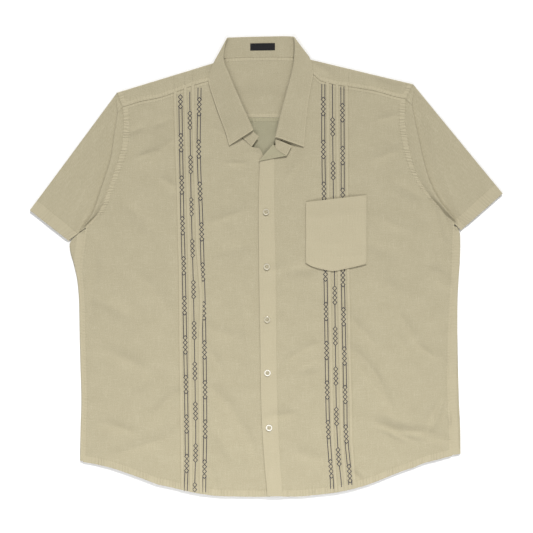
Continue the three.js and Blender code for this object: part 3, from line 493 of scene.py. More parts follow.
def make_slub_weave():
    """Plain weave of uneven yarn: fine threads, long thick places in both directions, soft clouds."""
    tree, given, wanted = effect("slub weave", ["Place", "Warp", "Weft"], ["Height", "Tone"])
    place = given["Place"]
    split = tree.nodes.new("ShaderNodeSeparateXYZ")
    tree.links.new(place, split.inputs[0])
    wander = times(tree, noise(tree, place, 0.009, 1), 5)
    threads = []
    for axis, pitch in (("X", "Warp"), ("Y", "Weft")):
        turns = calc(tree, "DIVIDE", split.outputs[axis], given[pitch])
        threads.append(calc(tree, "SINE", times_plus(tree, turns, WHOLE_TURN, wander)))
    over = times(tree, *threads)
    lengthways = eased(tree, noise(tree, place, (0.0011, 0.024, 1)), 0.5, 0.8)
    crossways = eased(tree, noise(tree, place, (0.02, 0.0012, 1)), 0.5, 0.8)
    slubs = calc(tree, "ADD", lengthways, crossways)
    clouds = noise(tree, place, (0.035, 0.028, 1), 3)
    specks = noise(tree, place, 0.0016, 2)
    height = times_plus(tree, over, 0.00003, times(tree, slubs, 0.00007))
    tree.links.new(times_plus(tree, specks, 0.00008, height), wanted["Height"])
    tone = times_plus(tree, clouds, 0.35, times(tree, slubs, 0.34))
    grain = times_plus(tree, eased(tree, specks, 0.3, 0.7), 0.45, times(tree, over, 0.05))
    tree.links.new(calc(tree, "ADD", tone, grain), wanted["Tone"])


def make_sewn_edge():
    """Doubled cloth along a sewn edge, the small puckers that its stitches draw across it, and painted shade
    in the puckers' troughs.
    """
    tree, given, wanted = effect(
        "sewn edge", ["Along", "Off", "Band", "Pucker"], ["Height", "Doubled", "Painted Trough Shade"])
    sewn = calc(tree, "GREATER_THAN", given["Band"], 0.0005)
    beyond = calc(tree, "SUBTRACT", given["Off"], given["Band"])
    doubled = times(tree, sewn, calc(tree, "SUBTRACT", 1, eased(tree, beyond, -0.0004, 0.0006)))
    spot = tree.nodes.new("ShaderNodeCombineXYZ")
    tree.links.new(given["Along"], spot.inputs["X"])
    tree.links.new(times(tree, given["Off"], 0.4), spot.inputs["Y"])
    wander = times(tree, noise(tree, spot.outputs[0], 0.011, 2), 11)
    wave = calc(tree, "SINE", times_plus(tree, given["Along"], WHOLE_TURN / PUCKER_PITCH, wander))
    strength = times(tree, given["Pucker"], eased(tree, noise(tree, spot.outputs[0], 0.02, 1), 0.25, 0.6))
    near = calc(tree, "SUBTRACT", 1, eased(tree, beyond, -0.002, 0.007))
    ripple = times(tree, times(tree, wave, near), strength)
    height = times_plus(tree, ripple, 0.00033, times(tree, doubled, 0.0003))
    tree.links.new(height, wanted["Height"])
    tree.links.new(doubled, wanted["Doubled"])
    # Painted shade: how deep each pucker's trough is, for darkening the cloth there
    tree.links.new(calc(tree, "MAXIMUM", times(tree, ripple, -1), 0), wanted["Painted Trough Shade"])


def make_twisted_yarn():
    """The slanting plies of sewing and embroidery thread."""
    tree, given, wanted = effect("twisted yarn", ["Place", "Ply"], ["Height", "Tone"])
    split = tree.nodes.new("ShaderNodeSeparateXYZ")
    tree.links.new(given["Place"], split.inputs[0])
    slanted = calc(tree, "ADD", split.outputs["X"], times(tree, split.outputs["Y"], 1.6))
    turns = calc(tree, "DIVIDE", slanted, given["Ply"])
    ply = calc(tree, "SINE", times(tree, turns, WHOLE_TURN))
    fuzz = noise(tree, given["Place"], 0.0004, 2)
    tree.links.new(times_plus(tree, ply, 0.00004, times(tree, fuzz, 0.00004)), wanted["Height"])
    tree.links.new(times_plus(tree, ply, 0.2, fuzz), wanted["Tone"])


def bump(tree, height, shader):
    step = tree.nodes.new("ShaderNodeBump")
    feed_all(tree, step, {"Strength": 1.0, "Distance": 1.0, "Height": height})
    tree.links.new(step.outputs["Normal"], shader.inputs["Normal"])


def uv_place(tree, name):
    step = tree.nodes.new("ShaderNodeUVMap")
    step.uv_map = name
    return step.outputs["UV"]


def attribute(tree, name):
    step = tree.nodes.new("ShaderNodeAttribute")
    step.attribute_name = name
    return step.outputs["Fac"]


def cloth_material(name, dark, light, sewn, weave=(0.00046, 0.00052), sheen=0.12):
    material, tree, shader = node_tree(name)
    cloth = put_effect(tree, "slub weave", Place=uv_place(tree, "grain"), Warp=weave[0], Weft=weave[1])
    seam = tree.nodes.new("ShaderNodeSeparateXYZ")
    tree.links.new(uv_place(tree, "seam"), seam.inputs[0])
    edge = put_effect(
        tree, "sewn edge", Along=seam.outputs["X"], Off=seam.outputs["Y"],
        Band=attribute(tree, "band"), Pucker=attribute(tree, "pucker"))
    colour = mixed(tree, cloth["Tone"], (*dark, 1), (*light, 1))
    # Paler colour on doubled cloth; on the collar's narrow edge bands it also stands as a painted highlight
    colour = mixed(tree, times(tree, edge["Doubled"], 0.5), colour, (*sewn, 1))
    # Painted shade: the cloth is darkened toward its dark colour in the pucker troughs
    colour = mixed(tree, times(tree, edge["Painted Trough Shade"], 0.45), colour, (*dark, 1))
    feed_all(tree, shader, {
        "Base Color": colour, "Roughness": times_plus(tree, cloth["Tone"], -0.06, 0.95),
        "Sheen Weight": sheen, "Sheen Roughness": 0.5, "Specular IOR Level": 0.25})
    bump(tree, calc(tree, "ADD", cloth["Height"], edge["Height"]), shader)
    return material


def thread_material(name, dark, light, ply):
    material, tree, shader = node_tree(name)
    place = tree.nodes.new("ShaderNodeTexCoord").outputs["Object"]
    yarn = put_effect(tree, "twisted yarn", Place=place, Ply=ply)
    colour = mixed(tree, yarn["Tone"], (*dark, 1), (*light, 1))
    feed_all(tree, shader, {"Base Color": colour, "Roughness": 0.62, "Sheen Weight": 0.15})
    bump(tree, yarn["Height"], shader)
    return material


def button_material():
    """Pale shell-like button, clouded, with a smooth polish and a painted highlight on its rim."""
    material, tree, shader = node_tree("button shell")
    place = tree.nodes.new("ShaderNodeTexCoord").outputs["Object"]
    clouds = noise(tree, place, (0.002, 0.006, 0.002), 3)
    rings = noise(tree, place, (0.009, 0.0008, 0.003), 2)
    tone = times_plus(tree, rings, 0.5, times(tree, clouds, 0.5))
    shell = mixed(tree, tone, (0.36, 0.315, 0.2, 1), (0.5, 0.45, 0.32, 1))
    # Painted highlight: the rim attribute mixes a near-white colour into the button's rim
    colour = mixed(tree, attribute(tree, "rim"), shell, (0.85, 0.83, 0.76, 1))
    feed_all(tree, shader, {
        "Base Color": colour, "Roughness": times_plus(tree, clouds, 0.2, 0.2), "Coat Weight": 0.3})
    bump(tree, times(tree, rings, 0.00004), shader)
    return material


make_slub_weave()
make_sewn_edge()
make_twisted_yarn()
CLOTH_FINISH = cloth_material("cloth", (0.345, 0.305, 0.2), (0.475, 0.427, 0.3), (0.49, 0.436, 0.3))
# Greyer cloth: the wrong side of the cloth on the back, and painted shade on the turned-out lapel
INSIDE_AND_SHADE_FINISH = cloth_material("cloth inside and painted shade", (0.30, 0.28, 0.185), (0.37, 0.345, 0.235), (0.4, 0.365, 0.24))
LABEL_FINISH = cloth_material(
    "woven label", (0.008, 0.008, 0.009), (0.022, 0.021, 0.023), (0.016, 0.015, 0.017),
    weave=(0.0003, 0.0007), sheen=0.05)
SEWING_THREAD = thread_material("sewing thread", (0.40, 0.35, 0.22), (0.56, 0.5, 0.35), 0.0005)
EMBROIDERY_THREAD = thread_material("embroidery thread", (0.008, 0.006, 0.014), (0.03, 0.026, 0.042), 0.0006)
BUTTON_FINISH = button_material()


# Fronts
TUCKS = ("first", "second", "third")
TUCK_SHAPE = (
    (-2.2, 0), (-0.6, -0.5), (0.9, -0.4), (0.8, 0.25), (-0.1, 0.65), (-0.4, 1.05), (0.2, 1.35), (1.8, 1.15),
    (3.4, 0.9), (4.2, 0.7), (4.9, 0.15), (5.6, 0))
TUCK_TOP = (4, 9)
STITCH_COLUMN = 8
CORNER = (-12, 211)
CORNER_CURL = 2.0
CORNER_REACH = 6.5
FRONT_ROWS = 290
SIDE_COLUMNS = 60
GAP_COLUMNS = 5


def front_grid(rows, tucks, seam, lift):
    """Middle points of a front, rows from hem to yoke, columns from the outer to the inner edge."""
    last = len(rows["outer_x"]) - 1
    v = np.linspace(0, last, FRONT_ROWS)
    t = (v / last)[:, None]

    def ends(place):
        return [through(rows, column, place)[:, None] for column in FRONT_COLUMNS.split()]

    def chord(x, place):
        outer_x, outer_y, inner_x, inner_y = ends(place)
        return lerp(outer_y, inner_y, (x - outer_x) / (inner_x - outer_x))

    def row_y(x):
        hem = (lookup(HEM, "x", x, "y") - chord(x, np.zeros(1))) * (1 - t) ** 3
        head = (lookup(seam, "x", x, "y") - chord(x, np.full(1, last))) * t**4
        return chord(x, v) + hem + head

    outer_x, outer_y, inner_x, inner_y = ends(v)
    inward = np.sign(inner_x[0, 0] - outer_x[0, 0])
    lines = []
    for name in TUCKS:
        x = np.full_like(outer_x, tucks[name][1])
        for _ in range(3):
            x = lookup(tucks, "y", row_y(x), name)
        lines.append(x)
    first = lines[0] + inward * TUCK_SHAPE[0][0]
    columns = [lerp(outer_x, first, k / SIDE_COLUMNS) for k in range(SIDE_COLUMNS)]
    rise = [0.0] * SIDE_COLUMNS
    for k, line in enumerate(lines):
        columns += [line + inward * across for across, _ in TUCK_SHAPE]
        rise += [TUCK_RISE * part for _, part in TUCK_SHAPE]
        after = lines[k + 1] + inward * TUCK_SHAPE[0][0] if k < 2 else inner_x
        count = GAP_COLUMNS if k < 2 else SIDE_COLUMNS
        before = line + inward * TUCK_SHAPE[-1][0]
        columns += [lerp(before, after, (n + 1) / (count + 1)) for n in range(count)]
        rise += [0.0] * count
    columns.append(inner_x)
    rise.append(0.0)
    x = np.concatenate(columns, axis=1)
    y = row_y(x)
    y[:, 0] = outer_y[:, 0]
    y[:, -1] = inner_y[:, 0]
    y[0, 0] = lookup(HEM, "x", x[0, 0], "y")
    curl = CORNER_CURL * np.exp(-(((x - CORNER[0]) ** 2 + (y - CORNER[1]) ** 2) / CORNER_REACH**2))
    return points(x, y, lie(x, y) + lift(x) + curl + np.array(rise)[None, :])


def tuck_start(k):
    return SIDE_COLUMNS + k * (len(TUCK_SHAPE) + GAP_COLUMNS)


def on_tucks(front):
    """Which points of a front lie on the doubled cloth of its tucks."""
    on_top = np.zeros(front.shape[:2], bool)
    for k in range(len(TUCKS)):
        start = tuck_start(k)
        on_top[:, start + TUCK_TOP[0]:start + TUCK_TOP[1] + 1] = True
    return on_top


def unlapped(x):
    return 0 * x


def front_edges(arm_part):
    return (("outer", 9, 1, (arm_part, 1)), ("outer", 4, 0.5, (0, arm_part)),
            ("head", 7, 0.6, WHOLE), ("hem", 11, 0.9, WHOLE))


right_front = front_grid(RIGHT_FRONT, RIGHT_TUCKS, RIGHT_YOKE_SEAM, unlapped)
left_front = front_grid(LEFT_FRONT, LEFT_TUCKS, LEFT_YOKE_SEAM, lapped)
right_arm_part = UNDERARM_ROW / (len(RIGHT_FRONT["outer_x"]) - 1)
left_arm_part = UNDERARM_ROW / (len(LEFT_FRONT["outer_x"]) - 1)

cloth_piece(
    "front_right_cloth", right_front, CLOTH_FINISH, "front_right",
    edges=front_edges(right_arm_part), doubled=on_tucks(right_front),
)
cloth_piece(
    "front_left_cloth", left_front, CLOTH_FINISH, "front_left",
    edges=front_edges(left_arm_part) + (("inner", 2, 0.4, WHOLE),), doubled=on_tucks(left_front),
)


# The back lies on the floor, and its sides turn over to the side seams
UNDER_COLLAR = {"left": -98, "right": 82, "front": 340, "flat": 12, "fade": 26}
SIDE_ROWS = 120
ARM_ROWS = 60
BACK_COLUMNS = 90
LEFT_SIDE = (-350, 65.5)
RIGHT_SIDE = (-337.5, 71)
BACK_HEM_IN = 1.5
ROLL_ANGLES = (90, 68, 45, 22, 0, -22, -45, -68)
BACK_CREASES = table(
    "x y to_x to_y height width",
    (-250, 190, -120, 120, 0.5, 10), (240, 180, 130, 90, 0.5, 11), (-60, 200, 40, 60, 0.4, 12),
    (-280, -60, -130, -140, 0.5, 12), (90, -40, 220, -150, 0.5, 12), (-90, -180, 20, -300, 0.5, 13),
    (180, -250, 290, -310, 0.5, 10), (-300, -270, -190, -330, 0.5, 11), (-20, 230, 70, 180, 0.4, 9),
)


def under_collar(x, y):
    beside = np.maximum(0, np.maximum(UNDER_COLLAR["left"] - x, x - UNDER_COLLAR["right"]))
    before = np.maximum(0, UNDER_COLLAR["front"] - y)
    return LAYER * (1 - smooth((np.hypot(beside, before) - UNDER_COLLAR["flat"]) / UNDER_COLLAR["fade"]))


def back_lift(x, y):
    return REST + under_collar(x, y) + relief(x, y, BACK_CREASES)


def arm_points(rows, parts):
    """Points of the back's armhole, on the front's, up to the height of the yoke seam."""
    count = len(rows["outer_x"]) - 1 - UNDERARM_ROW
    low, high = 0.0, 1.0
    for _ in range(30):
        middle = (low + high) / 2
        if through(rows, "outer_y", UNDERARM_ROW + middle * count) < BACK_SEAM:
            low = middle
        else:
            high = middle
    v = UNDERARM_ROW + parts * low * count
    return through(rows, "outer_x", v), through(rows, "outer_y", v)


def back_grid():
    t = np.linspace(0, 1, SIDE_ROWS + 1)
    left_y = lerp(*LEFT_SIDE, t)
    right_y = lerp(*RIGHT_SIDE, t)
    left_edge = lookup(SIDES, "y", left_y, "left")
    right_edge = lookup(SIDES, "y", right_y, "right")
    left_seam = lookup(RIGHT_FRONT, "outer_y", left_y, "outer_x")
    right_seam = lookup(LEFT_FRONT, "outer_y", right_y, "outer_x")

    def fold(edge, seam, y, inward):
        angle = np.radians(ROLL_ANGLES)
        roll_x = edge[:, None] + inward * TURN * (1 - np.cos(angle))
        roll_z = REST + TURN + TURN * np.sin(angle)
        reach = np.maximum(np.abs(seam - edge) + 1.2, TURN + 1.8)[:, None]
        part = np.linspace(0, 1, 6)[:-1]
        flat = edge[:, None] + inward * lerp(reach, TURN, part)
        x = np.concatenate([flat, roll_x], axis=1)
        z = np.concatenate([TOP - (CLOTH + 0.1) * (1 - part) ** 2, roll_z])
        slope = lookup(HEM, "x", x, "y") - lookup(HEM, "x", edge[:, None], "y")
        return points(x, y[:, None] + slope * (1 - t[:, None]) ** 3, z[None, :])

    def flat(left_x, left_y, right_x, right_y):
        part = np.linspace(0, 1, BACK_COLUMNS + 1)
        x = lerp(left_x[:, None], right_x[:, None], part)
        y = lerp(left_y[:, None], right_y[:, None], part)
        return x, y

    x, y = flat(left_edge + TURN, left_y, right_edge - TURN, right_y)
    part = (x - SIDES["left"][0]) / (SIDES["right"][0] - SIDES["left"][0])
    low_line = lerp(LEFT_SIDE[0], RIGHT_SIDE[0], part)
    hem = (lookup(HEM, "x", x, "y") + BACK_HEM_IN - low_line) * (1 - t[:, None]) ** 3
    y[:, 1:-1] += hem[:, 1:-1]
    z = back_lift(x, y)
    z[:, [0, -1]] = REST
    left_fold = fold(left_edge, left_seam, left_y, 1)
    right_fold = fold(right_edge, right_seam, right_y, -1)[:, ::-1]
    lower = np.concatenate([left_fold, points(x, y, z), right_fold], axis=1)
    parts = np.arange(1, ARM_ROWS + 1) / ARM_ROWS
    x, y = flat(*arm_points(RIGHT_FRONT, parts), *arm_points(LEFT_FRONT, parts))
    z = back_lift(x, y)
    wrap = left_fold.shape[1]
    body = points(x, y, z)
    upper = np.concatenate(
        [np.repeat(body[:, :1], wrap, axis=1), body, np.repeat(body[:, -1:], wrap, axis=1)], axis=1)
    return np.concatenate([lower, upper]), wrap


back, wrap = back_grid()
back_here = np.ones((back.shape[0] - 1, back.shape[1] - 1), bool)
back_here[SIDE_ROWS:, :wrap] = False
back_here[SIDE_ROWS:, -wrap:] = False
back_cloth = cloth_piece(
    "back_cloth", back, CLOTH_FINISH, "back", present=back_here,
    grain=(run(back, 1), back[..., 1]),
    edges=(("hem", 9, 0.6, WHOLE), ("head", 7, 0.5, WHOLE),
           ("outer", 14, 0.3, (0, 0.66)), ("inner", 14, 0.3, (0, 0.66))),
)

back_cloth.data.materials.append(INSIDE_AND_SHADE_FINISH)
for face in back_cloth.data.polygons:
    if face.normal.z > 0.5 and face.center.z < 3 * MM:
        face.material_index = 1

# The yoke
YOKE_FOOT = {"right": (-256.4, -84), "left": (248.2, 66)}
FOOT_PARTS = np.linspace(0, 0.94, 18)
FOLD_ANGLES = np.radians(np.linspace(-90, 90, 13))
FRONT_PARTS = np.linspace(0, 1, 11)[1:]


def yoke_columns(foot, fold, front):
    """Columns of the yoke from its back seam over the shoulder fold to its front seam."""
    to_foot = unit(foot - fold)
    to_front = unit(front - fold)
    low_turn = fold + to_foot * TURN
    high_turn = fold + to_front * TURN
    low = back_lift(fold[:, 0], fold[:, 1])
    high = lie(high_turn[:, 0], high_turn[:, 1])
    middle, rise = (low + high) / 2, (high - low) / 2
    part = FOOT_PARTS[None, :, None]
    behind = lerp(foot[:, None], low_turn[:, None], part)
    turned_in = TURN * (1 - np.cos(FOLD_ANGLES))[None, :, None]
    way = np.where(FOLD_ANGLES[None, :, None] < 0, to_foot[:, None], to_front[:, None])
    over = fold[:, None] + way * turned_in
    over_z = middle[:, None] + rise[:, None] * np.sin(FOLD_ANGLES)[None, :]
    before = lerp(high_turn[:, None], front[:, None], FRONT_PARTS[None, :, None])
    lap = (CLOTH + 0.05) * FRONT_PARTS[None, :] ** 2
    return np.concatenate([
        points(behind[..., 0], behind[..., 1], back_lift(behind[..., 0], behind[..., 1])),
        points(over[..., 0], over[..., 1], over_z),
        points(before[..., 0], before[..., 1], lie(before[..., 0], before[..., 1]) + lap),
    ], axis=1)


def yoke_lobe(front, shoulder, foot_ends):
    head = front[-1][:, :2]
    t = ((head[:, 0] - head[0, 0]) / (head[-1, 0] - head[0, 0]))[:, None]
    foot = np.concatenate([lerp(foot_ends[0], foot_ends[1], t), np.full_like(t, BACK_SEAM + SEAM)], axis=1)
    fold = lerp(np.array(shoulder[0]), np.array(shoulder[1]), t)
    return yoke_columns(foot, fold, head - (0, 1.5))


# The collar, row by row from its right end round the neck to its left end
COLLAR = table(
    "seam_x seam_y fold_x fold_y edge_x edge_y level",
    (-25.5, 215.6, -13.7, 232.7, -60, 214, 1), (-39.5, 228.4, -25, 243, -67, 216, 1),
    (-53.4, 242.6, -31.5, 257.4, -73.8, 241, 1), (-69.3, 268, -42.3, 280.8, -84, 268, 1),
    (-81.3, 293.7, -54.9, 309.6, -94, 297, 1), (-88.4, 316, -67.5, 340.2, -102, 322, 1),
    (-93, 337, -77.2, 365.4, -104, 338, 1), (-90, 355, -76.5, 384, -99.5, 354, 1),
    (-86, 364.5, -73.5, 397, -95, 364.5, 0.95), (-84.5, 370, -70, 405, -92.5, 369, 0.8),
    (-82, 372.2, -67.5, 407.6, -91, 370.4, 0.5), (-78, 373.7, -64, 408.8, -89, 369, 0.2),
    (-72, 374.7, -58, 409.4, -84, 358, 0.03), (-58, 375.6, -45, 410, -68, 349, 0),
    (-33, 376.6, -27, 410.4, -38, 345, 0), (-7, 377, -9, 410.8, -9, 344, 0), (20, 377, 11, 411.2, 20, 346, 0),
    (43, 376.6, 28, 411.6, 50, 351, 0), (55, 376.2, 38, 411.4, 67, 361, 0.03),
    (61, 375.9, 43.5, 410.6, 72.5, 374, 0.2), (65.5, 375.2, 47, 409, 74.5, 376.6, 0.5),
    (68.5, 374, 49.2, 406.5, 76.5, 375.6, 0.8), (69.8, 369, 50.8, 399, 79, 370, 0.95),
    (70.6, 358, 51.2, 384, 81.8, 357, 1), (71.2, 342, 49.5, 362, 83, 342, 1),
    (69, 319, 44.1, 335, 79.6, 322.2, 1),
    (64.6, 296, 36.9, 307.8, 75.6, 298.8, 1), (57.6, 273.6, 28.8, 278, 72, 272, 1),
    (47.4, 247, 22.5, 252, 69.3, 243, 1), (30.4, 230.6, 17.1, 230, 67.1, 213.7, 1),
    (16.2, 214.4, 17.6, 227.4, 66, 213, 1), (36.8, 198.8, 45.5, 215.6, 66, 212, 1),
)
NECK_FIRST = 12
NECK_LAST = 18
BEHIND_NECK = {name: column[NECK_FIRST:NECK_LAST + 1] for name, column in COLLAR.items()}
NECK_COLUMNS = 40
right_lobe = yoke_lobe(right_front, RIGHT_SHOULDER, YOKE_FOOT["right"])
left_lobe = yoke_lobe(left_front, LEFT_SHOULDER, YOKE_FOOT["left"])[::-1]
neck_place = np.linspace(0, len(BEHIND_NECK["seam_x"]) - 1, NECK_COLUMNS)
neck_x = through(BEHIND_NECK, "seam_x", neck_place)
neck_y = through(BEHIND_NECK, "seam_y", neck_place) - 2 * SEAM
neck_part = (np.arange(NECK_COLUMNS) + 1) / (NECK_COLUMNS + 1)
foot_x = lerp(YOKE_FOOT["right"][1], YOKE_FOOT["left"][1], neck_part)
column_length = right_lobe.shape[1]
down = np.concatenate([FOOT_PARTS, np.ones(column_length - len(FOOT_PARTS))])[None, :]
behind_x = lerp(foot_x[:, None], neck_x[:, None], down)
behind_y = lerp(BACK_SEAM + SEAM, neck_y[:, None], down)
neck_part_of_yoke = points(behind_x, behind_y, back_lift(behind_x, behind_y))
yoke = np.concatenate([right_lobe, neck_part_of_yoke, left_lobe])
yoke_here = np.zeros((yoke.shape[0] - 1, yoke.shape[1] - 1), bool)
yoke_here[:, : len(FOOT_PARTS)] = True
yoke_here[: len(right_lobe) - 1] = True
yoke_here[len(right_lobe) + NECK_COLUMNS:] = True
cloth_piece(
    "yoke_cloth", yoke, CLOTH_FINISH, "yoke",
    present=yoke_here,
    edges=(("inner", 7, 0.6, WHOLE), ("outer", 6, 0.4, WHOLE),
           ("hem", 8, 0.9, WHOLE), ("head", 8, 0.9, WHOLE)),
)

# Sleeves: flattened tubes from the armhole to an open hem
SLEEVE_STATIONS = 34
UNDER_EDGE = 1.6
FALL_LENGTH = 8
FALL_SHARE = 0.16
LEDGE_SHARE = 0.45
LOW_REACH = 45
SEAM_REACH = 30

# The fold beside the armhole drops over itself:
# how far beyond its crest, and its height as a part of its drop
LEDGE_FOLD = ((0.8, 0.96), (1.6, 0.8), (1.9, 0.6), (1.6, 0.4), (1.0, 0.2), (1.4, 0.06), (3.2, 0.01))


def sleeve_grid(yoke_edge, front, arm_part, back_edge, cuff, side):
    start = int(arm_part * (len(front) - 1))
    above = front[start:-1, 0][::-1]
    folds = len(FOOT_PARTS) + len(FOLD_ANGLES) // 2
    upper = np.concatenate([yoke_edge[folds:], above])
    rear = np.concatenate([yoke_edge[:folds][::-1], back_edge[2:][::-1]])
    out = np.sign(cuff[0][0])
    tip = upper[:1]
    arm = upper[-1]
    turned = np.array([[arm[0] + out * TURN * 0.7, arm[1] - TURN, REST + TURN]])

    def walk(path, beyond_seam):
        joined = np.concatenate([tip, path])
        sums = np.cumsum(np.hypot(*np.diff(joined[:, :2], axis=0).T))
        along = unit(np.gradient(path[:, :2], axis=0))
        sideways = np.stack([-along[:, 1], along[:, 0]], axis=1)
        sideways *= np.where(sideways[:, :1] * out < 0, -1, 1)
        moved = path.copy()
        moved[:, :2] += sideways * beyond_seam
        return moved, sums / sums[-1]

    upper_path, upper_along = walk(upper, -UNDER_EDGE)
    upper_path[:, 2] -= CLOTH + 0.1
    rear_path, rear_along = walk(rear, 2 * SEAM)
    path = np.concatenate([upper_path, turned, rear_path[::-1]])
    along = np.concatenate([upper_along, [1.02], rear_along[::-1]])
    is_upper = np.concatenate([np.ones(len(upper)), [0], np.zeros(len(rear))])[:, None]
    cuff = np.array(cuff)
    end = lerp(cuff[0], cuff[1], along[:, None])
    length = np.hypot(*(end - path[:, :2]).T)
    place = np.clip(along, 0, 1)
    ledge = np.minimum(lookup(LEDGE, "along", place, side), length * LEDGE_SHARE)
    drop = np.minimum(FALL_LENGTH, length * FALL_SHARE)
    middle = smooth(place / 0.12) * lerp(1, 0.55, smooth((place - 0.9) / 0.1))
    rise = lookup(LEDGE_HEIGHT, "along", place, "rise")
    near = ledge[:, None] * np.linspace(0, 1, 9)[None, :]
    fold_off, fold_level = np.array(LEDGE_FOLD).T
    fall = ledge[:, None] + np.minimum(middle, drop / FALL_LENGTH)[:, None] * fold_off[None, :]
    beyond = lerp((ledge + drop)[:, None], length[:, None], np.linspace(0, 1, SLEEVE_STATIONS)[None, :])
    far = np.concatenate([near, fall, beyond], axis=1)
    level = np.concatenate([np.ones(near.shape[1]), fold_level, np.zeros(beyond.shape[1])])[None, :]
    t = far / length[:, None]
    x = lerp(path[:, :1], end[:, :1], t)
    y = lerp(path[:, 1:2], end[:, 1:2], t)
    ridge = rise[:, None] * np.sin(np.pi / 2 * np.clip(far / ledge[:, None], 0, 1)) ** 1.5
    past = far - (ledge + drop)[:, None]
    open_part = np.sin(np.pi * np.clip(past / (length - ledge - drop)[:, None], 0, 1))
    low = -LEDGE_DROP * (1 - smooth(past / LOW_REACH)) + SLEEVE_FILL * open_part
    profile = lerp(low, ridge, level)
    from_seam = (path[:, 2:] - TOP) * np.exp(-((far / SEAM_REACH) ** 2))
    uneven = drift(x, y) * np.minimum(1, far / 20)
    height = np.maximum(LOWEST, TOP + from_seam + middle[:, None] * (profile + uneven))
    z = np.where(is_upper > 0, height, path[:, 2:])
    upper_share = (len(upper) - 1) / (len(path) - 1)
    return points(x, y, z), far, along * np.hypot(*(cuff[1] - cuff[0])), upper_share


right_back_edge = back[SIDE_ROWS:, wrap]
left_back_edge = back[SIDE_ROWS:, back.shape[1] - wrap - 1]
sleeves = {}
upper_shares = {}
for name, yoke_edge, front, arm_part, back_edge, cuff, side, flat, area in (
    ("sleeve_right", yoke[0], right_front, right_arm_part, right_back_edge, RIGHT_CUFF, "right",
     (0.36, 0.25), 0.0405),
    ("sleeve_left", yoke[-1], left_front, left_arm_part, left_back_edge, LEFT_CUFF, "left",
     (0.38, 0.25), 0.0425),
):
    sleeve, far, across, upper_share = sleeve_grid(yoke_edge, front, arm_part, back_edge, cuff, side)
    sleeves[name] = sleeve
    upper_shares[name] = upper_share
    cloth_piece(
        f"{name}_cloth", sleeve, CLOTH_FINISH, name, closed=True,
        grain=(np.broadcast_to(across[:, None], far.shape), far),
        edges=(("inner", 21, 0.5, WHOLE), ("outer", 3, 0.8, WHOLE)),
    )


# Placket, with its turned-out top
PLACKET_EDGE = table(
    "y x", (-414, 1.4), (-342, -4.5), (-273.6, -8.6), (-205.2, -10.4), (-133.2, -11.3), (-7.2, -13.5),
    (118.8, -14.2), (190, -12),
)
LAPEL = {"low": (-12, 188.5), "high": (13.2, 217.5), "tip": (36, 197.6), "seam": (15.4, 212.6)}
PLACKET_COLUMNS = 17
PLACKET_TOP = 10.5
PLACKET_ROWS = 190
PLACKET_RISE = 0.7
LAPEL_START = 12
LAPEL_STEPS = 6
SLANT = 20
SLANT_FROM = 0.8
SLANT_SPAN = 0.2


def placket_grid():
    across = np.linspace(0, 1, PLACKET_COLUMNS)[None, :]
    v = np.linspace(0, PLACKET_TOP, PLACKET_ROWS)
    joined_x = through(LEFT_FRONT, "inner_x", v)
    joined_y = through(LEFT_FRONT, "inner_y", v)
    slant = SLANT * smooth((v / (PLACKET_TOP + 0.5) - SLANT_FROM) / SLANT_SPAN)
    edge_y = joined_y - slant
    edge_x = lookup(PLACKET_EDGE, "y", edge_y, "x")
    low, high, tip, seam = (np.array(LAPEL[name]) for name in ("low", "high", "tip", "seam"))
    strip = points(edge_x, edge_y, PLACKET_RISE), points(joined_x + 1.5, joined_y, PLACKET_RISE)
    turned = LIFT + LAPEL_ROLL
    control = [
        (strip[0][-1, :2], strip[1][-1, :2], PLACKET_RISE), (low + (0, -1), high + (-1, -2), PLACKET_RISE),
        (low + (-0.7, 0.6), high + (-1.3, 0.2), turned / 2), (low + (1, 0.1), high + (-0.2, -0.8), turned)]
    control += [(lerp(low, tip, part), lerp(high, seam, part), turned) for part in (0.35, 0.7, 1)]
    top = refine(np.array([[(*a, rise), (*b, rise)] for a, b, rise in control]), LAPEL_STEPS)[1:]
    start = np.concatenate([strip[0], top[:, 0]])[:, None]
    end = np.concatenate([strip[1], top[:, 1]])[:, None]
    spot = lerp(start, end, across[..., None])
    x, y = spot[..., 0], spot[..., 1]
    return points(x, y, lie(x, y) + LIFT + spot[..., 2])


placket = placket_grid()
placket_cloth = cloth_piece(
    "placket_cloth", placket, CLOTH_FINISH, "placket",
    edges=(("outer", 40, 0.07, WHOLE),),
)
# Painted shade: the turned-out lapel's faces take the greyer inside cloth, for the shade on them
placket_cloth.data.materials.append(INSIDE_AND_SHADE_FINISH)
for face in placket_cloth.data.polygons:
    rows = [corner % (placket.shape[0] * PLACKET_COLUMNS) // PLACKET_COLUMNS for corner in face.vertices]
    if min(rows) >= PLACKET_ROWS + LAPEL_START:
        face.material_index = 1

# Pocket, a little open at its mouth
POCKET = table(
    "x top bottom", (70.5, 114.6, 5.5), (82.8, 116, -1.2), (103, 118.4, -6.5), (120.6, 120.4, -9),
    (147, 123.4, -4), (165, 125.5, 0), (179.4, 127.1, 3.8),
)
POCKET_ROWS = 44
POCKET_COLUMNS = 40
pocket_place = np.linspace(0, len(POCKET["x"]) - 1, POCKET_COLUMNS)
pocket_up = np.linspace(0, 1, POCKET_ROWS)[:, None]
pocket_x = np.broadcast_to(through(POCKET, "x", pocket_place), (POCKET_ROWS, POCKET_COLUMNS))
pocket_y = lerp(through(POCKET, "bottom", pocket_place), through(POCKET, "top", pocket_place), pocket_up)
pocket_gape = POCKET_GAPE * smooth((pocket_up - 0.72) / 0.28) * np.sin(np.linspace(0, np.pi, POCKET_COLUMNS))
POCKET_CREASES = table(
    "x y to_x to_y height width",
    (92, 42, 150, 39, -0.5, 5), (120, 15, 168, 19, -0.4, 4), (84, 78, 128, 70, 0.3, 7),
)
pocket_z = lie(pocket_x, pocket_y) + lapped(pocket_x) + POCKET_LIFT + pocket_gape
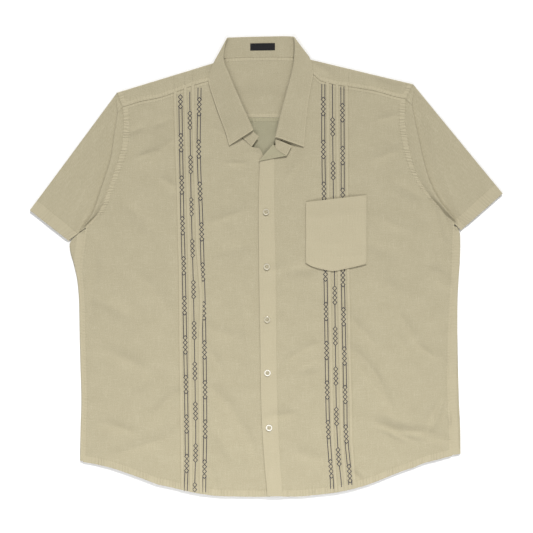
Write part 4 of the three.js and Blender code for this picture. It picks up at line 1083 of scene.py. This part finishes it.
pocket = points(pocket_x, pocket_y, pocket_z + relief(pocket_x, pocket_y, POCKET_CREASES))
cloth_piece(
    "pocket_cloth", pocket, CLOTH_FINISH, "pocket",
    edges=(("head", 200, 0.1, WHOLE),),
)

# Collar: band and leaf share the fold line
LEAF_FIRST = 1
LEAF_LAST = 29
TURNED_OUT = 30
COLLAR_STEPS = 6
BAND_LAP = 1.2


def collar_frames():
    seam_x, seam_y, fold_x, fold_y, level = (
        COLLAR[name] for name in ("seam_x", "seam_y", "fold_x", "fold_y", "level"))
    across = unit(np.stack([fold_x - seam_x, fold_y - seam_y], axis=1))
    side = np.where(fold_x < NECK_X, -1, 1)
    tilt = np.radians(180 * level - 90)
    sideways_x = side * np.abs(across[:, 1])
    sideways_y = -side * across[:, 0] * np.where(across[:, 1] < 0, -1, 1)
    turned = np.arange(len(level)) >= TURNED_OUT
    on_lapel = 2 * LIFT + LAPEL_ROLL
    upper_seam = lie(seam_x, seam_y) + np.where(turned, on_lapel, np.where(side > 0, lapped(seam_x), 0))
    upper_fold = lie(fold_x, fold_y) + np.where(
        turned, on_lapel + 0.2, np.where(side > 0, lapped(fold_x), 0) + BAND_RISE)
    return {
        "seam": points(seam_x, seam_y, lerp(REST + LAYER, upper_seam, level)),
        "fold": points(fold_x, fold_y, lerp(BAND_BACK, upper_fold, level)),
        "across": points(across[:, 0], across[:, 1], 0),
        "outward": points(sideways_x * np.cos(tilt), sideways_y * np.cos(tilt), np.sin(tilt)),
    }


collar = collar_frames()
band_parts = np.linspace(0, 1, 13)[None, :, None]
band_seam = collar["seam"] - collar["across"] * BAND_LAP + (0, 0, 0.55)
band_control = lerp(band_seam[:, None], collar["fold"][:, None], band_parts)
band = refine(band_control, COLLAR_STEPS)
# The band's narrow edge bands take the paler doubled colour: doubled cloth, and a painted highlight along the
# collar's edges
cloth_piece(
    "collar_band_cloth", band, CLOTH_FINISH, "collar_band",
    grain=(run(band, 0), run(band, 1)),
    edges=(("outer", 1.5, 0.4, WHOLE), ("hem", 1.5, 0.3, WHOLE), ("head", 1.5, 0.3, WHOLE)),
)

LEAF_PARTS = np.linspace(0, 1, 15)
LEAF_ANGLES = np.radians((0, 25, 50, 75, 100, 130, 160))


def leaf_grid():
    chosen = slice(LEAF_FIRST, LEAF_LAST + 1)
    fold, across, outward = (collar[name][chosen][:, None] for name in ("fold", "across", "outward"))
    level = COLLAR["level"][chosen]
    roll = (LEAF_ROLL * (1 + 0.45 * level))[:, None, None]
    angle = LEAF_ANGLES[None, :, None]
    rolled = fold + across * roll * np.sin(angle) + outward * roll * (1 - np.cos(angle))
    start = fold + outward * 2 * roll - across * 2
    edge_x, edge_y = COLLAR["edge_x"][chosen], COLLAR["edge_y"][chosen]
    edge_level = np.clip((level - 0.2) / 0.6, 0, 1)
    edge = points(edge_x, edge_y, lerp(REST, lie(edge_x, edge_y) + LIFT + 0.3, edge_level))[:, None]
    return np.concatenate([rolled, lerp(start, edge, LEAF_PARTS[None, :, None])], axis=1)


leaf = refine(leaf_grid(), COLLAR_STEPS)
# The leaf's narrow edge bands take the paler doubled colour: doubled cloth, and a painted highlight along its
# rolled edges
cloth_piece(
    "collar_leaf_cloth", leaf, CLOTH_FINISH, "collar_leaf",
    grain=(run(leaf, 0), run(leaf, 1)),
    edges=(("inner", 1.6, 0.3, WHOLE), ("hem", 1.6, 0.3, WHOLE), ("head", 1.6, 0.3, WHOLE)),
)

# Label behind the neck
LABEL = {"left": -29.2, "right": 15.3, "near": 0.31, "far": 0.69}
LABEL_WALL = 0.5


def label_grid():
    x = np.linspace(LABEL["left"], LABEL["right"], 60)[:, None]
    part = np.linspace(LABEL["near"], LABEL["far"], 16)[None, :]
    seam_y = lookup(BEHIND_NECK, "seam_x", x, "seam_y")
    fold_y = lookup(BEHIND_NECK, "fold_x", x, "fold_y")
    bow = 0.25 * np.sin(np.pi * (x - LABEL["left"]) / (LABEL["right"] - LABEL["left"]))
    z = lerp(REST + LAYER, BAND_BACK, part) + (CLOTH + LABEL_WALL) / 2 + 0.1 + bow
    return points(x, lerp(seam_y, fold_y, part), z)


cloth_piece(
    "label_cloth", label_grid(), LABEL_FINISH, "label",
    thickness=LABEL_WALL, edges=(("hem", 2, 0, WHOLE), ("head", 2, 0, WHOLE)),
)


# Thread that lies on the cloth
def cord(path, width, height, closed=False, corner=1.0):
    """Points and faces of a flattened thread along a path."""
    if closed:
        along = unit(np.roll(path, -1, axis=0) - np.roll(path, 1, axis=0))
    else:
        along = unit(np.gradient(path, axis=0))
    side = unit(np.cross(along, (0, 0, 1)))
    section = np.array(((1, 0), (0.6, 0.8), (-0.6, 0.8), (-1, 0), (-0.6, -0.8), (0.6, -0.8)))
    offset = side[:, None] * section[None, :, :1] * width * corner / 2
    rise = np.array((0, 0, 1)) * section[None, :, 1:] * height / 2
    vertices = (path[:, None] + offset + rise).reshape(-1, 3)
    count, around = len(path), len(section)
    faces = []
    for i in range(count if closed else count - 1):
        here, there = i * around, (i + 1) % count * around
        for k in range(around):
            after = (k + 1) % around
            faces.append((here + k, there + k, there + after, here + after))
    if not closed:
        faces.append(tuple(range(around)))
        faces.append(tuple(reversed(range((count - 1) * around, count * around))))
    return vertices, faces


def joined(name, forms, material, slot):
    """One piece from many small forms, each with its own points and faces."""
    vertices, faces, start = [], [], 0
    for form_vertices, form_faces in forms:
        vertices.append(form_vertices)
        faces += [tuple(start + k for k in face) for face in form_faces]
        start += len(form_vertices)
    obj = mesh_object(name, in_metres(np.concatenate(vertices)), faces, material)
    activate(obj)
    bpy.ops.object.shade_smooth_by_angle(angle=math.radians(60))
    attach(obj, "root")
    return obj


# One stitch, as parts of its length, width and height, copied along every sewn line
STITCH_POINTS = np.array(((1, 0, 0), (-1, 0, 0), (0, 1, 0), (0, -1, 0), (0, 0, 1), (0, 0, -1))) / 2
STITCH_FACES = np.array(
    ((0, 2, 4), (2, 1, 4), (1, 3, 4), (3, 0, 4), (2, 0, 5), (1, 2, 5), (3, 1, 5), (0, 3, 5)))
STITCH_SIZE = (2.1, 0.62, 0.5)
STITCH_PITCH = 2.9
STITCH_AHEAD = 0.4
STITCH_LIFT = 0.62


def along_line(line, places):
    """Points of a line at distances from its start."""
    far = np.concatenate([[0], np.cumsum(np.linalg.norm(np.diff(line, axis=0), axis=-1))])
    return np.stack([np.interp(places, far, line[:, k]) for k in range(3)], axis=1), far[-1]


def stitches(line, up):
    """A row of stitches along a line that lies on cloth."""
    length = along_line(line, [0])[1]
    places = (np.arange(int(length / STITCH_PITCH)) + 0.5) * STITCH_PITCH
    parts = np.linspace(0, 1, len(line))
    centre = along_line(line, places)[0]
    along = unit(along_line(line, places + STITCH_AHEAD)[0] - along_line(line, places - STITCH_AHEAD)[0])
    rise = unit(np.stack([np.interp(places / length, parts, up[:, k]) for k in range(3)], axis=1))
    side = unit(np.cross(rise, along))
    axes = np.stack([along, side, rise], axis=1)
    shape = np.einsum("pk,nkx->npx", STITCH_POINTS * STITCH_SIZE, axes)
    vertices = (centre + rise * CLOTH * STITCH_LIFT)[:, None] + shape
    faces = STITCH_FACES[None] + 6 * np.arange(len(places))[:, None, None]
    return vertices.reshape(-1, 3), faces.reshape(-1, 3).tolist()


def edge_line(grid, side, off, span=WHOLE):
    """Points and normals of a line at a distance off one edge of a grid, for part of the edge's length."""
    up = normals(grid)
    if side in ("outer", "inner"):
        grid, up = np.swapaxes(grid, 0, 1), np.swapaxes(up, 0, 1)
    if side in ("head", "inner"):
        grid, up = grid[::-1], up[::-1]
    first, last = (int(round(part * (grid.shape[1] - 1))) for part in span)
    far = run(grid, 0)
    line = [[np.interp(off, far[:, j], grid[:, j, k]) for k in range(3)] for j in range(first, last + 1)]
    rise = [[np.interp(off, far[:, j], up[:, j, k]) for k in range(3)] for j in range(first, last + 1)]
    return np.array(line), np.array(rise)


def tuck_lines(front):
    lines = []
    for k in range(len(TUCKS)):
        column = tuck_start(k) + STITCH_COLUMN
        lines.append((front[2:-2, column], normals(front)[2:-2, column]))
    return lines


SEWN_LINES = {
    "front_right_stitching": tuck_lines(right_front) + [
        edge_line(right_front, "hem", 11), edge_line(right_front, "outer", 9, (right_arm_part, 0.99))],
    "front_left_stitching": tuck_lines(left_front) + [
        edge_line(left_front, "hem", 11), edge_line(left_front, "outer", 9, (left_arm_part, 0.99))],
    "yoke_stitching": [
        edge_line(right_lobe, "inner", 1.6, (0, 0.97)), edge_line(right_lobe, "inner", 7, (0, 0.97)),
        edge_line(left_lobe, "inner", 1.6, (0.03, 1)), edge_line(left_lobe, "inner", 7, (0.03, 1)),
        edge_line(right_lobe, "hem", 9, (0.78, 0.98)), edge_line(left_lobe, "head", 9, (0.78, 0.98))],
    "placket_stitching": [edge_line(placket, "outer", 5), edge_line(placket, "inner", 5)],
    "pocket_stitching": [
        edge_line(pocket, "outer", 1.8), edge_line(pocket, "inner", 1.8), edge_line(pocket, "hem", 1.8),
        edge_line(pocket, "head", 24)],
    "leaf_stitching": [
        edge_line(leaf, "inner", 6, (0.03, 0.97)), edge_line(leaf, "hem", 6, (0.4, 0.95)),
        edge_line(leaf, "head", 6, (0.4, 0.95))],
    "band_stitching": [edge_line(band, "outer", 1.8)],
}
for name, sleeve in sleeves.items():
    SEWN_LINES[f"{name}_stitching"] = [edge_line(sleeve, "inner", 21, (0, upper_shares[name]))]
for name, lines in SEWN_LINES.items():
    joined(name, [stitches(line, up) for line, up in lines], SEWING_THREAD, "cloth")

# Embroidered stripes: each column's middle line, half the distance of its double line, and the middles of
# the first diamonds of its groups of four
THREAD_WIDTH = 1.35
THREAD_HEIGHT = 0.45
DIAMOND_PITCH = 8.5
DIAMOND_WIDTH = 7.4
DIAMOND_THREAD = 1.4
DIAMONDS = 4
DOUBLE = 2.75
STRIPES = {
    "right": (
        (DOUBLE, ((-154.6, 308), (-151.2, 84.6), (-148.9, 12.6), (-146, -130), (-143.1, -342), (-145, -404)),
         (312, 234, 158, 85, 13, -58.5, -129, -200, -271, -342)),
        (0, ((-137.7, 313), (-135.4, 119), (-131.4, -29), (-127.8, -248), (-127.1, -322), (-129, -406)),
         (274, 195, 119, 44.5, -29.5, -103, -176, -248, -323, -393)),
        (DOUBLE, ((-120.2, 320), (-121.6, 209), (-117, 79), (-112.5, -79), (-110, -281), (-112, -406)),
         (298.6, 222.5, 147, 74, 2, -68, -138, -209.5, -280, -352)),
    ),
    "left": (
        (DOUBLE, ((102.1, 327), (102.2, 209), (106, -18), (108.9, -223), (111.1, -295), (117.9, -400)),
         (299, 222, 147, 74, 2, -69, -139, -210, -281, -351.5)),
        (0, ((118.4, 326), (119.7, 164), (122.6, -52), (125.6, -274), (129.2, -342), (134.8, -397)),
         (262.6, 184, 110, 34, -40, -113, -185, -257.6, -330)),
        (DOUBLE, ((136.3, 322), (136.8, 200), (137.3, -22), (141.3, -232), (142.9, -301), (150.5, -393)),
         (288, 211, 136, 63, -8, -78.5, -149, -218, -289, -360)),
    ),
}
DIAMOND_CORNERS = np.array(((0, 1, 0), (1, 0, 0), (0, -1, 0), (-1, 0, 0))) * (
    DIAMOND_WIDTH / 2, DIAMOND_PITCH / 2, 0)
DIAMOND_POINTS, DIAMOND_FACES = cord(
    DIAMOND_CORNERS[::-1], DIAMOND_THREAD, THREAD_HEIGHT, closed=True, corner=1.3)


def on_front(vertices, lift):
    """Lays thread on a front's upper face."""
    x, y = vertices[:, 0], vertices[:, 1]
    vertices[:, 2] += lie(x, y) + lift(x) + CLOTH / 2 + THREAD_HEIGHT * 0.3
    return vertices


def stripe_forms(half, middle, firsts, lift):
    middle_x, middle_y = np.array(middle, float).T
    column = {"x": middle_x, "y": middle_y}
    top, bottom = middle_y[0], middle_y[-1]
    forms = []
    ends = [top]
    for first in firsts:
        for k in range(DIAMONDS):
            y = first - k * DIAMOND_PITCH
            if bottom < y - DIAMOND_PITCH / 2 and y + DIAMOND_PITCH / 2 < top + 1:
                spot = np.array((float(lookup(column, "y", y, "x")), y, 0))
                forms.append((on_front(DIAMOND_POINTS + spot, lift), DIAMOND_FACES))
        ends += [first + DIAMOND_PITCH / 2, first - (DIAMONDS - 0.5) * DIAMOND_PITCH]
    ends.append(bottom)
    for start, end in zip(ends[::2], ends[1::2]):
        if start - end < 2:
            continue
        meet = DIAMOND_PITCH * half / DIAMOND_WIDTH
        count = max(4, int((start - end) / 3))
        y = np.linspace(start + meet * (start < top), end - meet * (end > bottom), count)
        for side in ((-1, 1) if half else (0,)):
            path = points(lookup(column, "y", y, "x") + side * half, y, 0)
            vertices, faces = cord(path, THREAD_WIDTH, THREAD_HEIGHT)
            forms.append((on_front(vertices, lift), faces))
    return forms


for side, lift in (("right", unlapped), ("left", lapped)):
    forms = [form for stripe in STRIPES[side] for form in stripe_forms(*stripe, lift)]
    joined(f"front_{side}_embroidery", forms, EMBROIDERY_THREAD, "embroidery")


# Buttons, their thread and their buttonholes
HOLE_RADIUS = 0.8
HOLE_PLACE = 1.5
BUTTON_COUNT = 5
# How strongly each button's rim is painted with a highlight
PAINTED_RIM_HIGHLIGHT = (0.25, 0.3, 0.2, 0.95, 1.0)
RIM = 1.1
DISH = 0.7
DISH_WALL = 0.8
EDGE_ROUND = 0.35
SEATED = 0.0002
TURN_EACH = 17


def select_faces(obj, wanted):
    """Selects the faces of the object in edit mode for which wanted(face) holds."""
    bpy.ops.object.mode_set(mode="OBJECT")
    for face in obj.data.polygons:
        face.select = bool(wanted(face))
    bpy.ops.object.mode_set(mode="EDIT")


def make_button():
    """A dished button with a raised rim and four holes, its base at the origin."""
    height = BUTTON_HEIGHT * MM
    bpy.ops.mesh.primitive_cylinder_add(
        vertices=40, radius=BUTTON_RADIUS * MM, depth=height, location=(0, 0, height / 2))
    disc = bpy.context.object
    disc.name = "button_form"
    bpy.ops.object.transform_apply(location=True, rotation=True, scale=True)
    bpy.ops.object.mode_set(mode="EDIT")
    bpy.ops.mesh.select_mode(type="FACE")
    select_faces(disc, lambda face: face.normal.z > 0.9)
    bpy.ops.mesh.inset(thickness=RIM * MM)
    bpy.ops.mesh.inset(thickness=DISH_WALL * MM)
    bpy.ops.transform.translate(value=(0, 0, -DISH * MM))
    select_faces(disc, lambda face: face.normal.z < -0.9)
    bpy.ops.mesh.inset(thickness=RIM * MM)
    bpy.ops.object.mode_set(mode="OBJECT")
    bpy.ops.object.modifier_add(type="BEVEL")
    bevel = disc.modifiers[-1]
    bevel.width = EDGE_ROUND * MM
    bevel.segments = 3
    bevel.limit_method = "ANGLE"
    bevel.angle_limit = math.radians(40)
    bpy.ops.object.modifier_apply(modifier=bevel.name)
    drills = []
    for x in (-HOLE_PLACE, HOLE_PLACE):
        for y in (-HOLE_PLACE, HOLE_PLACE):
            bpy.ops.mesh.primitive_cylinder_add(
                vertices=14, radius=HOLE_RADIUS * MM, depth=3 * height, location=(x * MM, y * MM, 0))
            drills.append(bpy.context.object)
    for drill in drills:
        activate(disc)
        bpy.ops.object.modifier_add(type="BOOLEAN")
        cut = disc.modifiers[-1]
        cut.operation = "DIFFERENCE"
        cut.solver = "EXACT"
        cut.object = drill
        bpy.ops.object.modifier_apply(modifier=cut.name)
    remove(drills)
    activate(disc)
    bpy.ops.object.shade_smooth_by_angle(angle=math.radians(35))
    disc.data.materials.append(BUTTON_FINISH)
    return disc


button = make_button()
threads, buttonholes = [], []
for k in range(1, BUTTON_COUNT + 1):
    low, high = (np.array(corner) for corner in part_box(f"button_{k}"))
    middle = (low + high) / 2
    base = low[2] - SEATED
    piece = button.copy()
    piece.data = button.data.copy()
    piece.name = f"button_{k}_shell"
    bpy.context.scene.collection.objects.link(piece)
    turn = Matrix.Rotation(math.radians(TURN_EACH * k), 4, "Z")
    far = np.array([math.hypot(*vertex.co[:2]) for vertex in piece.data.vertices]) / (BUTTON_RADIUS * MM)
    # Painted highlight on the rim, stronger on some buttons than on others
    rim = piece.data.attributes.new("rim", "FLOAT", "POINT")
    rim.data.foreach_set("value", smooth((far - 0.62) / 0.16) * PAINTED_RIM_HIGHLIGHT[k - 1])
    piece.data.transform(Matrix.Translation((middle[0], middle[1], base)) @ turn)
    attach(piece, "root")
    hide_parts(f"button_{k}")
    at = np.array((middle[0] / MM + MIDDLE_X, middle[1] / MM + MIDDLE_Y, base / MM))
    for side in (-1, 1):
        end = np.array(turn.to_3x3() @ Vector((side * HOLE_PLACE, HOLE_PLACE, 0)))
        start = np.array(turn.to_3x3() @ Vector((side * HOLE_PLACE, -HOLE_PLACE, 0)))
        arc = np.array([
            lerp(start, end, t) + (0, 0, 1.55 + 0.5 * math.sin(math.pi * t)) for t in np.linspace(0, 1, 7)])
        threads.append(cord(at + arc, 0.75, 0.6))
    round_end = np.radians(np.linspace(0, 180, 7))
    upper = np.stack([1.3 * np.cos(round_end), 5.9 + 1.2 * np.sin(round_end), 0 * round_end], axis=1)
    loop = np.concatenate([upper, -upper])
    loop[:, 2] = 0
    path = loop + at
    path[:, 2] = lie(path[:, 0], path[:, 1]) + LIFT + PLACKET_RISE + CLOTH / 2 + 0.1
    buttonholes.append(cord(path[::-1], 1.1, 0.6, closed=True))
remove([button])
joined("button_thread", threads, SEWING_THREAD, "cloth")
joined("buttonholes", buttonholes, SEWING_THREAD, "cloth")

# Floor, light and camera
PHOTO_WIDTH = 0.9594
CAMERA_HEIGHT = 2.3
SENSOR = 36.0
FLOOR_SIZE = 8
FLOOR_GAP = 0.0006
SKY_LIGHT = 0.35
CAMERA_AT = (0.0005, -0.0009)
FAR_CLIP = 20


def studio():
    bpy.ops.mesh.primitive_plane_add(size=FLOOR_SIZE, location=(0, 0, -FLOOR_GAP))
    floor = bpy.context.object
    floor.name = "floor"
    material, tree, shader = node_tree("floor")
    feed_all(tree, shader, {"Base Color": (0.95, 0.95, 0.95, 1), "Roughness": 0.9})
    floor.data.materials.append(material)
    world = bpy.data.worlds.new("studio")
    world.use_nodes = True
    background = world.node_tree.nodes["Background"]
    feed_all(world.node_tree, background, {"Color": (1, 1, 1, 1), "Strength": SKY_LIGHT})
    bpy.context.scene.world = world
    # The last value is the sun's angle, or the width of an area light in metres
    for name, kind, place, aim, power, size in (
        ("key", "SUN", (0.3, 1.9, 1.8), (0, 0, 0), 2.75, math.radians(12)),
        ("low", "AREA", (0.05, -0.85, 1), (0, -0.3, 0), 6.8, 0.5),
        ("fill", "AREA", (-1.6, 0.4, 1.6), (0, 0, 0), 4, 1.6),
    ):
        bpy.ops.object.light_add(type=kind, location=place)
        light = bpy.context.object
        light.name = name
        light.data.energy = power
        if kind == "SUN":
            light.data.angle = size
        else:
            light.data.size = size
        toward = Vector(aim) - Vector(place)
        light.rotation_euler = toward.to_track_quat("-Z", "Y").to_euler()
    bpy.ops.object.camera_add(location=(*CAMERA_AT, CAMERA_HEIGHT), rotation=(0, 0, 0))
    camera = bpy.context.object
    camera.name = "camera"
    camera.data.sensor_width = SENSOR
    camera.data.lens = SENSOR * CAMERA_HEIGHT / PHOTO_WIDTH
    camera.data.clip_end = FAR_CLIP
    bpy.context.scene.camera = camera
    bpy.context.scene.view_settings.view_transform = "Standard"


studio()
